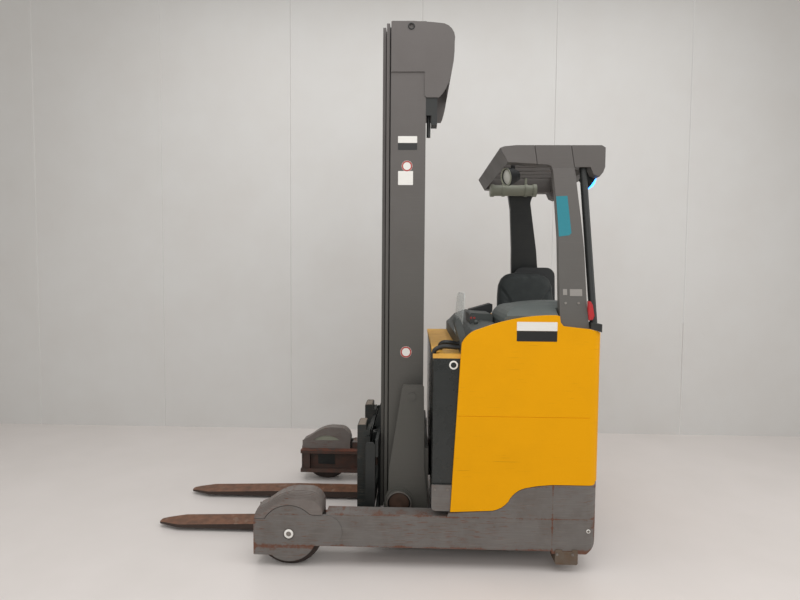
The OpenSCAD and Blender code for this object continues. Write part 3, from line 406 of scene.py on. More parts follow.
@dataclass(frozen=True)
class Film:
    """Vinyl film or enamelled plate: even and smooth, a little scuffed."""

    name: str
    colour: str
    scuff: str
    roughness: float = 0.35

    def make(self) -> Material:
        """Build the material."""
        material, tree, shader, place = started(self.name)
        scratch = streaks(tree, place, 60, 3)
        tinted(tree, shader, mapped(tree, scratch, 0.55, 0.75, 0.0, 0.4), self.colour, self.scuff)
        shader.inputs["Roughness"].default_value = self.roughness
        return material


@dataclass(frozen=True)
class ClearSheet:
    """Scratched polycarbonate: clear, its roughness clouded by haze."""

    name: str
    colour: str
    alpha: float

    def make(self) -> Material:
        """Build the material."""
        material, tree, shader, place = started(self.name)
        haze = noise(tree, place, 40, 4)
        tree.links.new(mapped(tree, haze, 0.3, 0.7, 0.08, 0.25), shader.inputs["Roughness"])
        shader.inputs["Base Color"].default_value = linear(self.colour)
        shader.inputs["Alpha"].default_value = self.alpha
        return material


@dataclass(frozen=True)
class Lens:
    """Moulded acrylic lens over a lamp that may be lit."""

    name: str
    colour: str
    glow: float = 0.0

    def make(self) -> Material:
        """Build the material."""
        material, tree, shader, place = started(self.name)
        ribs = add(
            tree, "ShaderNodeTexWave", {"Vector": place}, {"Scale": 60.0, "Distortion": 0.0},
            bands_direction="Z",
        ).outputs["Fac"]
        shader.inputs["Base Color"].default_value = linear(self.colour)
        shader.inputs["Roughness"].default_value = 0.15
        shader.inputs["Coat Weight"].default_value = 0.6
        shader.inputs["Emission Color"].default_value = linear(self.colour)
        shader.inputs["Emission Strength"].default_value = self.glow
        roughened(tree, shader, ribs, 0.4, 0.3)
        return material


class Paints:
    """Every finish of the truck, made once."""

    def __init__(self) -> None:
        """Make the materials."""
        rust = "#643a26"
        finishes = {
            "chassis": WornPaint(
                "worn_grey_chassis_paint", "#676360", "#574f49", "#817c76", rust, 0.5, 110, 3, 0.6, 0.6, 0.635,
                (
                    Band(Axis.X, 566, 22, 0.22), Band(Axis.Z, 112, 18, 0.14), Band(Axis.Z, 279, 9, 0.18),
                    Band(Axis.X, 104, 14, 0.08), Band(Axis.Z, 100, 34, 0.14), Band(Axis.Z, 232, 12, 0.1),
                    Band(Axis.X, -977, 8, 0.2), Band(Axis.X, -1204, 40, 0.16), Band(Axis.Z, 302, 5, 0.1),
                    Band(Axis.Z, 446, 16, 0.14),
                ),
                scratch_share=0.7, scratch_from=0.575, scratch_mm=(70, 4.5),
            ),
            "cover": WornPaint(
                "scuffed_wheel_cover_paint", "#6f6864", "#5f554e", "#868079", rust, 0.55, 60, 4, 0.5, 0.35, 0.7,
                (Band(Axis.X, 560, 16, 0.16), Band(Axis.Z, 392, 16, 0.08)),
                scratch_share=0.8, scratch_from=0.58, scratch_mm=(50, 5),
            ),
            # The mast's colour turns darker towards the bottom, from 2.7 m down to 0.8 m
            "mast": WornPaint(
                "satin_warm_grey_paint", "#5e5957", "#544f4c", "#69645f", "#3c302a",
                0.42, 200, 6, 0.35, 0.12, 0.82,
                (), "#4c4b46", (0.8, 2.7), 0.1,
            ),
            "yellow": WornPaint(
                "yellow_powder_coat", "#e6a100", "#d29300", "#ecb010", "#8a5c16",
                0.45, 260, 3, 0.3, 0.12, 0.785,
                (
                    Band(Axis.Z, 470, 60, 0.05), Band(Axis.X, -1200, 40, 0.17), Band(Axis.Z, 1230, 50, 0.03),
                    Band(Axis.Z, 806, 5, 0.08),
                ),
                scratch_share=0.45, scratch_from=0.675, scratch_mm=(170, 4.5), specular=0.12,
            ),
            "black_paint": WornPaint(
                "oily_black_paint", "#1c1f1f", "#292a26", "#343733", "#5d4a3c", 0.42, 60, 5, 0.6, 0.3, 0.72,
            ),
            "battery": WornPaint(
                "dark_battery_trough", "#1f2322", "#292c2c", "#303434", "#4a4640", 0.22, 90, 4, 0.5, 0.25, 0.78,
            ),
            "grey_plastic": MouldedPlastic("grey_moulded_abs", "#3e4241", "#4a4e4b"),
            "hood": MouldedPlastic("pale_grey_hood_abs", "#4a504e", "#575d5a", 0.5),
            "black_plastic": MouldedPlastic("black_moulded_abs", "#181a1b", "#242727"),
            # The deck is paler than the body yellow: partly dust, partly a painted highlight of its lit top
            "deck": MouldedPlastic("dusty_deck_cover_painted_highlight", "#d9a441", "#c08c3a", 0.5),
            "cloth": SeatCloth("woven_seat_cloth", "#252a2a", "#303534"),
            "fork": WornPaint(
                "browned_fork_steel", "#1e2423", "#332c27", "#4c4138", "#8f8377", 0.5, 50, 6, 0.6, 0.4, 0.76,
                (Band(Axis.Z, 657, 12, 0.4), Band(Axis.Z, 16, 10, 0.12)), "#704a34", (0.072, 0.105), 0.3,
            ),
            # Painted shade: this darker finish goes on the blades' sides and undersides, which face away from
            # the light
            "fork_side": WornPaint(
                "painted_shade_on_fork_blades", "#33241c", "#28201c", "#4c3527", "#6a4a36", 0.6, 60, 6, 0.6, 0.4, 0.74,
            ),
            "channel": WornPaint(
                "rusty_arm_channel", "#3f332d", "#5a3529", "#4d443e", "#6b3c2c", 0.6, 70, 4, 0.7, 0.3, 0.62,
                (Band(Axis.Z, 229, 8, 0.2),), scratch_share=0.4,
            ),
            "rusty_pad": WornPaint(
                "rusty_rest_pad", "#5f5347", "#57432f", "#75695c", rust, 0.6, 40, 4, 0.8, 0.4, 0.62, (),
                scratch_share=0.6,
            ),
            "trunnion": Steel("greased_trunnion_end", "#4a3a30", "#5b4234", "#7d7166", 0.4, 0.5, 0.6),
            "lamp_paint": WornPaint(
                "olive_grey_lamp_paint", "#8d8f80", "#7d7f72", "#9b9c90", "#5d5a50",
                0.45, 80, 5, 0.4, 0.2, 0.85,
            ),
            "steel": Steel("turned_steel", "#8e8b87", "#6f5f52", "#a9a7a3", 0.8, 0.35, 0.5),
            "roller": Steel("greased_roller_steel", "#5b4a40", "#6b4c39", "#8a8077", 0.5, 0.5, 0.7),
            "wheel": Polymer("brown_polyurethane", "#251813", "#3c2e26"),
            "drive_tyre": Polymer("dark_drive_tyre", "#231c19", "#453c35"),
            "rubber": Polymer("black_cable_rubber", "#191b1c", "#2b2d2d", 0.5),
            "white_film": Film("white_vinyl_plate", "#e4e2dd", "#cfccc6"),
            "pale_film": Film("pale_worn_film", "#8b8782", "#736e69", 0.5),
            "black_film": Film("black_vinyl_plate", "#141414", "#2b2b2b"),
            "red_film": Film("red_vinyl_ring", "#a8322a", "#8f3a33"),
            "teal_film": Film("teal_vinyl_film", "#0f7886", "#1f8792"),
            "screen": ClearSheet("clear_screen_sheet", "#cfd6d4", 0.34),
            "lamp_lens": Lens("clear_lamp_lens", "#c8c8c0"),
            "blue_lens": Lens("lit_blue_lens", "#2f8cff", 4.0),
            "red_lens": Lens("red_rear_lens", "#b3121a"),
        }
        self.all = {key: finish.make() for key, finish in finishes.items()}

    def __getitem__(self, key: str) -> Material:
        """Finish by its short name."""
        return self.all[key]


# Mesh tools


def kept(name: str, mesh: bpy.types.Mesh, finish: Material, smooth: bool = True) -> Piece:
    """Link a mesh as an object with one finish.

    Args:
        name: Name of the piece.
        mesh: Finished mesh, in the row frame.
        finish: Material of all faces.
        smooth: Whether shallow edges are shaded smooth.

    Returns:
        The object, at the origin.
    """
    mesh.materials.clear()
    mesh.materials.append(finish)
    piece = bpy.data.objects.new(name, mesh)
    bpy.context.scene.collection.objects.link(piece)
    if smooth:
        mesh.shade_smooth()
        mesh.set_sharp_from_angle(angle=PIECE_ANGLE)
    return piece


def mesh_from(maker: Shape, name: str) -> bpy.types.Mesh:
    """Close a bmesh into a mesh with merged doubles and outward faces."""
    bmesh.ops.remove_doubles(maker, verts=maker.verts, dist=1e-6)
    bmesh.ops.recalc_face_normals(maker, faces=maker.faces)
    mesh = bpy.data.meshes.new(name)
    maker.to_mesh(mesh)
    maker.free()
    return mesh


def slab(outline: list[Pair], thick: float, round_edge: float = 0.0) -> Shape:
    """A flat plate from an outline.

    Args:
        outline: Corners as (x, z) in metres, in order.
        thick: Thickness along +Y, from y = 0.
        round_edge: Width of the bevel round its outer face.

    Returns:
        The plate as a bmesh.
    """
    maker = bmesh.new()
    base = maker.faces.new([maker.verts.new((x, 0.0, z)) for x, z in outline])
    lifted = bmesh.ops.extrude_face_region(maker, geom=[base])
    tops = [v for v in lifted["geom"] if isinstance(v, bmesh.types.BMVert)]
    bmesh.ops.translate(maker, verts=tops, vec=(0, thick, 0))
    if round_edge:
        rim = [e for e in maker.edges if all(abs(v.co.y - thick) < 1e-7 for v in e.verts)]
        bmesh.ops.bevel(maker, geom=rim, offset=round_edge, segments=2, affect="EDGES")
    return maker


def rounded_box(width: float, height: float, radius: float, steps: int = 5) -> list[Pair]:
    """Corners of a rounded rectangle round the origin."""
    points = []
    for k, (sx, sz) in enumerate(((1, 1), (-1, 1), (-1, -1), (1, -1))):
        for i in range(steps + 1):
            a = QUARTER * (k + i / steps)
            x = sx * (width / 2 - radius) + radius * math.cos(a)
            points.append((x, sz * (height / 2 - radius) + radius * math.sin(a)))
    return points


def disc(radius: float, steps: int = 40) -> list[Pair]:
    """Corners of a round outline round the origin."""
    turns = [math.tau * i / steps for i in range(steps)]
    return [(radius * math.cos(a), radius * math.sin(a)) for a in turns]


def skinned(maker: Shape, rows: list[list[bmesh.types.BMVert]]) -> Shape:
    """Put faces between neighbouring rows of points, each a ring or a single pole."""
    count = max(len(row) for row in rows)
    for low, high in zip(rows, rows[1:]):
        for i in range(count):
            j = (i + 1) % count
            corners = (low[i % len(low)], low[j % len(low)], high[j % len(high)], high[i % len(high)])
            unique = list(dict.fromkeys(corners))
            if len(unique) > 2:
                maker.faces.new(unique)
    return maker


def turned(profile: list[Pair], steps: int = 48) -> Shape:
    """A closed turned shape round the Z axis from (radius, height) points, ends on the axis."""
    maker = bmesh.new()
    rows = []
    for radius, height in profile:
        if radius < 1e-9:
            rows.append([maker.verts.new((0, 0, height))])
        else:
            rows.append([maker.verts.new((x, y, height)) for x, y in disc(radius, steps)])
    return skinned(maker, rows)


def tube(route: list[Place], radius: float, sides: int = 16, fine: int = 6) -> Shape:
    """A closed round tube on a smooth curve through a route's points.

    Args:
        route: Points in metres.
        radius: Radius of the tube.
        sides: Corners of its section.
        fine: Steps between two points.

    Returns:
        The tube as a bmesh.
    """
    p = [Vector(v) for v in route]
    p = [p[0] * 2 - p[1], *p, p[-1] * 2 - p[-2]]
    path = []
    for i in range(1, len(p) - 2):
        a, b, c, d = p[i - 1 : i + 3]
        for k in range(fine):
            t = k / fine
            bend = (2 * a - 5 * b + 4 * c - d) * t * t + (3 * b - a - 3 * c + d) * t ** 3
            path.append(0.5 * (2 * b + (c - a) * t + bend))
    path.append(p[-2])
    maker = bmesh.new()
    rings = []
    across = Vector((0.02, 1, 0.01))
    for i, point in enumerate(path):
        ahead = (path[min(i + 1, len(path) - 1)] - path[max(i - 1, 0)]).normalized()
        u = ahead.cross(across).normalized()
        v = ahead.cross(u)
        across = -v
        rings.append([maker.verts.new(point + a * u + b * v) for a, b in disc(radius, sides)])
    skinned(maker, rings)
    maker.faces.new(rings[0])
    maker.faces.new(rings[-1])
    return maker


def placed(maker: Shape, where: Place, turn: Matrix | None = None) -> Shape:
    """Turn a shape round its origin and move it to its place."""
    matrix = Matrix.Translation(where) @ (turn.to_4x4() if turn else Matrix.Identity(4))
    bmesh.ops.transform(maker, matrix=matrix, verts=maker.verts)
    return maker


def riding(piece: Piece, body: Body) -> Piece:
    """Let a piece move with its body."""
    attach(piece, body.value)
    log.info("%s rides on %s", piece.name, body.value)
    return piece


def fitted(name: str, maker: Shape, finish: Material, body: Body) -> Piece:
    """Close a shape into a piece with one finish and let it ride on a body.

    Args:
        name: Name of the piece.
        maker: Its shape, at its place.
        finish: Material of all faces.
        body: Body that carries it.

    Returns:
        The finished piece.
    """
    return riding(kept(name, mesh_from(maker, name), finish), body)


class BoltHeads:
    """Geometry Nodes tree that puts a screw head on each point of a mesh."""

    def __init__(self, finish: Material) -> None:
        """Build the tree.

        Args:
            finish: Material of the heads.
        """
        self.finish = finish
        tree = bpy.data.node_groups.new("bolt_heads", "GeometryNodeTree")
        tree.interface.new_socket("Geometry", in_out="INPUT", socket_type="NodeSocketGeometry")
        for name, value in (("Head radius", 0.008), ("Head height", 0.004), ("Socket radius", 0.004)):
            socket = tree.interface.new_socket(name, in_out="INPUT", socket_type="NodeSocketFloat")
            socket.default_value = value
        tree.interface.new_socket("Geometry", in_out="OUTPUT", socket_type="NodeSocketGeometry")
        start = add(tree, "NodeGroupInput")
        head = add(
            tree, "GeometryNodeMeshCylinder",
            {"Radius": start.outputs["Head radius"], "Depth": start.outputs["Head height"]}, {"Vertices": 20},
        )
        half = add(tree, "ShaderNodeMath", {0: start.outputs["Head height"]}, {1: 0.5}, operation="MULTIPLY")
        socket_hole = add(
            tree, "GeometryNodeMeshCylinder",
            {"Radius": start.outputs["Socket radius"], "Depth": start.outputs["Head height"]}, {"Vertices": 6},
        )
        lift = add(tree, "ShaderNodeCombineXYZ", {"Z": half.outputs[0]})
        raised = add(
            tree, "GeometryNodeTransform",
            {"Geometry": socket_hole.outputs["Mesh"], "Translation": lift.outputs[0]},
        )
        cut = add(
            tree, "GeometryNodeMeshBoolean",
            {"Mesh 1": head.outputs["Mesh"], "Mesh 2": raised.outputs[0]}, operation="DIFFERENCE",
        )
        aim = add(tree, "GeometryNodeInputNamedAttribute", inputs={"Name": "aim"}, data_type="FLOAT_VECTOR")
        turn = add(tree, "FunctionNodeAlignRotationToVector", {"Vector": aim.outputs["Attribute"]}, axis="Z")
        points = add(tree, "GeometryNodeMeshToPoints", {"Mesh": start.outputs["Geometry"]})
        spread = add(
            tree, "GeometryNodeInstanceOnPoints",
            {"Points": points.outputs[0], "Instance": cut.outputs["Mesh"], "Rotation": turn.outputs[0]},
        )
        real = add(tree, "GeometryNodeRealizeInstances", {"Geometry": spread.outputs[0]})
        dressed = add(tree, "GeometryNodeSetMaterial", {"Geometry": real.outputs[0]}, {"Material": finish})
        add(tree, "NodeGroupOutput", {"Geometry": dressed.outputs[0]})
        self.tree = tree

    def on(self, name: str, radius: float, way: Place, places: list[Place]) -> Piece:
        """Put heads at places on the chassis, all facing one way.

        Args:
            name: Name of the piece.
            radius: Head radius in metres.
            way: Direction that the heads face.
            places: Place of each head.

        Returns:
            The finished piece.
        """
        mesh = bpy.data.meshes.new(name)
        mesh.from_pydata(places, [], [])
        aim = mesh.attributes.new("aim", "FLOAT_VECTOR", "POINT")
        aim.data.foreach_set("vector", way * len(places))
        source = bpy.data.objects.new(name + "_points", mesh)
        bpy.context.scene.collection.objects.link(source)
        modifier = source.modifiers.new("heads", "NODES")
        modifier.node_group = self.tree
        values = {"Head radius": radius, "Head height": radius, "Socket radius": radius * 0.5}
        for item in self.tree.interface.items_tree:
            if item.item_type == "SOCKET" and item.in_out == "INPUT" and item.name in values:
                modifier[item.identifier] = values[item.name]
        bpy.context.view_layer.update()
        shown = source.evaluated_get(bpy.context.evaluated_depsgraph_get())
        solid = bpy.data.meshes.new_from_object(shown)
        bpy.data.objects.remove(source)
        solid.name = name
        return riding(kept(name, solid, self.finish), Body.CHASSIS)


# Sub-assemblies


@dataclass
class Studio:
    """Camera, pale room and soft light. Sizes are in metres."""

    eye: Place = (-0.262, 3.22, 1.524)
    yaw: float = 1.63
    pitch: float = -2.85
    roll: float = 0.45
    focal_px: float = 513.6
    frame_px: float = 800.0
    sensor: float = 36.0
    wall_y: float = -1.75
    seam_x: float = 0.943
    seam_step: float = 1.258
    seam_depth: float = 0.012
    floor_colour: str = "#d5cfcc"
    wall_colour: str = "#d0cfcd"

    def camera(self) -> None:
        """Stand the camera where the photographer stood."""
        yaw, pitch, roll = (math.radians(a) for a in (self.yaw, self.pitch, self.roll))
        ahead = Vector((math.sin(yaw), -math.cos(yaw), 0))
        right = Vector((-math.cos(yaw), -math.sin(yaw), 0))
        up = Vector((0, 0, 1))
        c, s = math.cos(pitch), math.sin(pitch)
        ahead, up = ahead * c + up * s, up * c - ahead * s
        c, s = math.cos(roll), math.sin(roll)
        right, up = right * c + up * s, up * c - right * s
        data = bpy.data.cameras.new("camera")
        data.sensor_width = self.sensor
        data.lens = self.focal_px / self.frame_px * self.sensor
        data.clip_start = 0.05
        camera = bpy.data.objects.new("camera", data)
        turn = Matrix((right, up, -ahead)).transposed()
        camera.matrix_world = Matrix.Translation(self.eye) @ turn.to_4x4()
        bpy.context.scene.collection.objects.link(camera)
        bpy.context.scene.camera = camera

    def surface(self, name: str, colour: str, roughness: float, one_sided: bool) -> Material:
        """A pale painted surface, clear from behind where it is one-sided."""
        material, tree, shader, place = started(name)
        cloud = noise(tree, place, 500, 3)
        tone = mixed(tree, mapped(tree, cloud, 0.35, 0.7, 0.0, 0.25), linear(colour), linear("#c4bfba"))
        tree.links.new(tone, shader.inputs["Base Color"])
        shader.inputs["Roughness"].default_value = roughness
        if one_sided:
            facing = add(tree, "ShaderNodeNewGeometry").outputs["Backfacing"]
            clear = add(tree, "ShaderNodeBsdfTransparent")
            both = add(tree, "ShaderNodeMixShader", {0: facing, 1: shader.outputs[0], 2: clear.outputs[0]})
            end = next(n for n in tree.nodes if n.type == "OUTPUT_MATERIAL")
            tree.links.new(both.outputs[0], end.inputs[0])
        return material

    def room(self) -> None:
        """Lay the floor and stand a panelled wall behind the truck."""
        maker = bmesh.new()
        bmesh.ops.create_grid(maker, x_segments=1, y_segments=1, size=14)
        finish = self.surface("sealed_floor", self.floor_colour, 0.32, False)
        floor = kept("floor", mesh_from(maker, "floor"), finish, False)
        if floor.data.polygons[0].normal.z < 0:
            floor.data.flip_normals()
        maker = bmesh.new()
        low, high, gap = -0.01, 5.0, 0.004
        for k in range(-6, 6):
            x0 = self.seam_x + k * self.seam_step + gap
            x1 = x0 + self.seam_step - 2 * gap
            maker.faces.new([maker.verts.new(p) for p in (
                (x1, self.wall_y, low), (x0, self.wall_y, low),
                (x0, self.wall_y, high), (x1, self.wall_y, high))])
            maker.faces.new([maker.verts.new(p) for p in (
                (x0, self.wall_y, low), (x0 - 2 * gap, self.wall_y - self.seam_depth, low),
                (x0 - 2 * gap, self.wall_y - self.seam_depth, high), (x0, self.wall_y, high))])
        mesh = bpy.data.meshes.new("wall")
        maker.to_mesh(mesh)
        maker.free()
        finish = self.surface("coated_wall_panel", self.wall_colour, 0.5, True)
        wall = kept("wall", mesh, finish, False)
        for face in wall.data.polygons:
            if face.normal.y < 0:
                face.flip()

    def light(self) -> None:
        """Hang soft lamps and set a pale world."""
        lamps = (
            ("ceiling", (-0.5, 1.2, 4.4), (5.5, 4.0), 118.0, (0, 0, 0)),
            ("front", (-0.4, 4.6, 2.6), (4.5, 2.6), 46.0, (-1.2, 0, 0)),
            ("left", (3.6, 1.6, 2.6), (2.5, 2.5), 16.0, (0, 1.1, 0)),
            ("right", (-4.2, 1.4, 2.6), (2.5, 2.5), 30.0, (0, -1.1, 0)),
        )
        for name, place, size, power, turn in lamps:
            data = bpy.data.lights.new(name, "AREA")
            data.shape = "RECTANGLE"
            data.size, data.size_y = size
            data.energy = power
            lamp = bpy.data.objects.new(name, data)
            lamp.location = place
            lamp.rotation_euler = turn
            bpy.context.scene.collection.objects.link(lamp)
        world = bpy.data.worlds.new("pale_room")
        world.use_nodes = True
        sky = next(n for n in world.node_tree.nodes if n.type == "BACKGROUND")
        sky.inputs[0].default_value = linear("#dcdad6")
        sky.inputs[1].default_value = 0.78
        bpy.context.scene.world = world
        bpy.context.scene.view_settings.view_transform = "Standard"

    def build(self) -> None:
        """Make the whole studio."""
        self.camera()
        self.room()
        self.light()


@dataclass
class CadDress:
    """Finish of each CAD node that shows as it is, with the nodes by finish. Sizes are in metres."""

    finishes: dict[str, str] = field(default_factory=lambda: {
        "chassis": "arm_left arm_right rear_frame battery_tray",
        "cover": "wheel_cover_left wheel_cover_right",
        "rusty_pad": "rest_pads",
        "steel": "load_axles lift_rods",
        "wheel": "load_wheel_left load_wheel_right",
        "drive_tyre": "drive_wheel",
        "yellow": "side_panel_left side_panel_right rear_panel",
        "black_plastic": "footwell pedals seat_shell steering_wheel work_lamp rear_light",
        "grey_plastic": "seat_base control_console",
        "hood": "dash_hood",
        "screen": "display_screen",
        "battery": "battery",
        "deck": "battery_cover",
        "mast": (
            "pillar_left guard_roof reach_carriage mast_shoes outer_mast mast_covers middle_mast inner_mast"
        ),
        # The right pillar is black, while the left pillar is grey like the mast
        "black_paint": (
            "pillar_right grab_rail hose_guide drive_unit lift_cylinders free_lift_cylinder lift_frame "
            "carriage_sides carriage_rollers tilt_frame side_shifter"
        ),
        "lamp_paint": "tube_lamp",
        "roller": "reach_rollers chain_head",
        "fork": "fork_left fork_right",
    })
    channel_y: float = 0.5285
    arm_rest_y: Pair = (-0.031, 0.0592)

    def dress(self, nodes: dict[str, Piece], paints: Paints) -> None:
        """Give each node its finish and smooth its shallow edges.

        Args:
            nodes: CAD objects by node.
            paints: The truck's finishes.
        """
        for key, names in self.finishes.items():
            for name in names.split():
                mesh = nodes[name].data
                mesh.materials.clear()
                mesh.materials.append(paints[key])
                mesh.shade_smooth()
                mesh.set_sharp_from_angle(angle=NODE_ANGLE)
                log.info("%s wears %s", name, paints[key].name)
        # Faces that wear a second finish: the arms' inner channels and the console's arm rest
        for name, key, low, high in (
            ("arm_left", "channel", 0.0, self.channel_y), ("arm_right", "channel", -self.channel_y, 0.0),
            ("control_console", "black_plastic", *self.arm_rest_y),
        ):
            mesh = nodes[name].data
            mesh.materials.append(paints[key])
            for face in mesh.polygons:
                if low <= face.center.y <= high:
                    face.material_index = 1
        # The blades' sides and undersides get a darker finish: painted shade for faces turned away from the
        # light
        for name in ("fork_left", "fork_right"):
            mesh = nodes[name].data
            mesh.materials.append(paints["fork_side"])
            for face in mesh.polygons:
                if face.normal.z < 0.5 and face.center.z < 0.06 and face.center.x > 0.1:
                    face.material_index = 1


@dataclass
class Signs:
    """Blank plates, rings and film on the truck's left side. Sizes are in metres."""

    mast_y: float = 0.3402
    panel_y: float = 0.6302
    foot_y: float = 0.6137
    foot_z: float = 1.238
    lean: float = 0.17746
    corner: float = 0.003
    plate: float = 0.0008
    disc: float = 0.0006
    film: float = 0.0007
    film_gap: float = 0.0003
    ring_lift: float = 0.0007

    def flat(
        self, name: str, finish: Material, face: tuple[Body, str, float], centre: Pair, size: Pair
    ) -> None:
        """A thin plate on an upright side face.

        Args:
            name: Name of the piece.
            finish: Material of the plate.
            face: Body, slot and y of the face that carries it.
            centre: Middle of the plate as (x, z).
            size: Its length and height.
        """
        body, slot, y = face
        maker = slab(rounded_box(*size, self.corner), self.plate, self.plate / 2)
        fitted(name, placed(maker, (centre[0], y, centre[1])), finish, body)

    def ring(self, name: str, paints: Paints, centre: Pair, radius: float) -> None:
        """A white disc on the mast with a red ring round it."""
        x, z = centre
        base = placed(slab(disc(radius), self.disc), (x, self.mast_y, z))
        fitted(name + "_disc", base, paints["white_film"], Body.REACH)
        outer, inner = disc(radius * 0.96), disc(radius * 0.72)
        maker = bmesh.new()
        rows = [
            [maker.verts.new((a, height, b)) for a, b in line]
            for line, height in ((outer, 0.0), (outer, self.disc), (inner, self.disc), (inner, 0.0))
        ]
        skinned(maker, rows + rows[:1])
        placed(maker, (x, self.mast_y + self.ring_lift, z))
        fitted(name + "_ring", maker, paints["red_film"], Body.REACH)

    def on_pillar(self, name: str, outline: list[Pair], finish: Material) -> None:
        """A film on the leaning outer face of the left pillar."""
        maker = slab([(x, z - self.foot_z) for x, z in outline], self.film)
        for v in maker.verts:
            y = self.foot_y + self.film_gap + v.co.y - v.co.z * self.lean
            v.co = Vector((v.co.x, y, self.foot_z + v.co.z))
        fitted(name, maker, finish, Body.CHASSIS)

    def build(self, paints: Paints) -> None:
        """Make every sign."""
        mast = (Body.REACH, "mast_paint", self.mast_y)
        panel = (Body.CHASSIS, "yellow_paint", self.panel_y)
        for name, key, face, centre, size in (
            ("mast_plate_white", "white_film", mast, (-0.2152, 2.269), (0.106, 0.037)),
            ("mast_plate_black", "black_film", mast, (-0.2152, 2.231), (0.106, 0.037)),
            ("mast_plate_square", "white_film", mast, (-0.2055, 2.0585), (0.083, 0.077)),
            ("side_plate_white", "white_film", panel, (-0.879, 1.268), (0.202, 0.045)),
            ("side_plate_black", "black_film", panel, (-0.879, 1.2185), (0.202, 0.053)),
        ):
            self.flat(name, paints[key], face, centre, size)
        self.ring("upper_sign", paints, (-0.213, 2.124), 0.03)
        self.ring("lower_sign", paints, (-0.216, 1.087), 0.032)
        for name, key, outline in (
            ("pillar_spot_small", "pale_film",
             [(-1.018, 1.426), (-1.018, 1.456), (-1.039, 1.456), (-1.039, 1.426)]),
            ("pillar_spot_large", "pale_film",
             [(-1.053, 1.421), (-1.053, 1.456), (-1.115, 1.456), (-1.115, 1.421)]),
            ("pillar_film", "teal_film",
             [(-0.996, 1.938), (-1.055, 1.941), (-1.070, 1.745), (-1.058, 1.733), (-1.005, 1.726)]),
        ):
            self.on_pillar(name, outline, paints[key])
        for name, x in (("stop_button_front", -0.584), ("stop_button_rear", -0.602)):
            button = placed(slab(disc(0.006, 20), 0.004, 0.001), (x, 0.3001, 1.281))
            fitted(name, button, paints["red_film"], Body.CHASSIS)


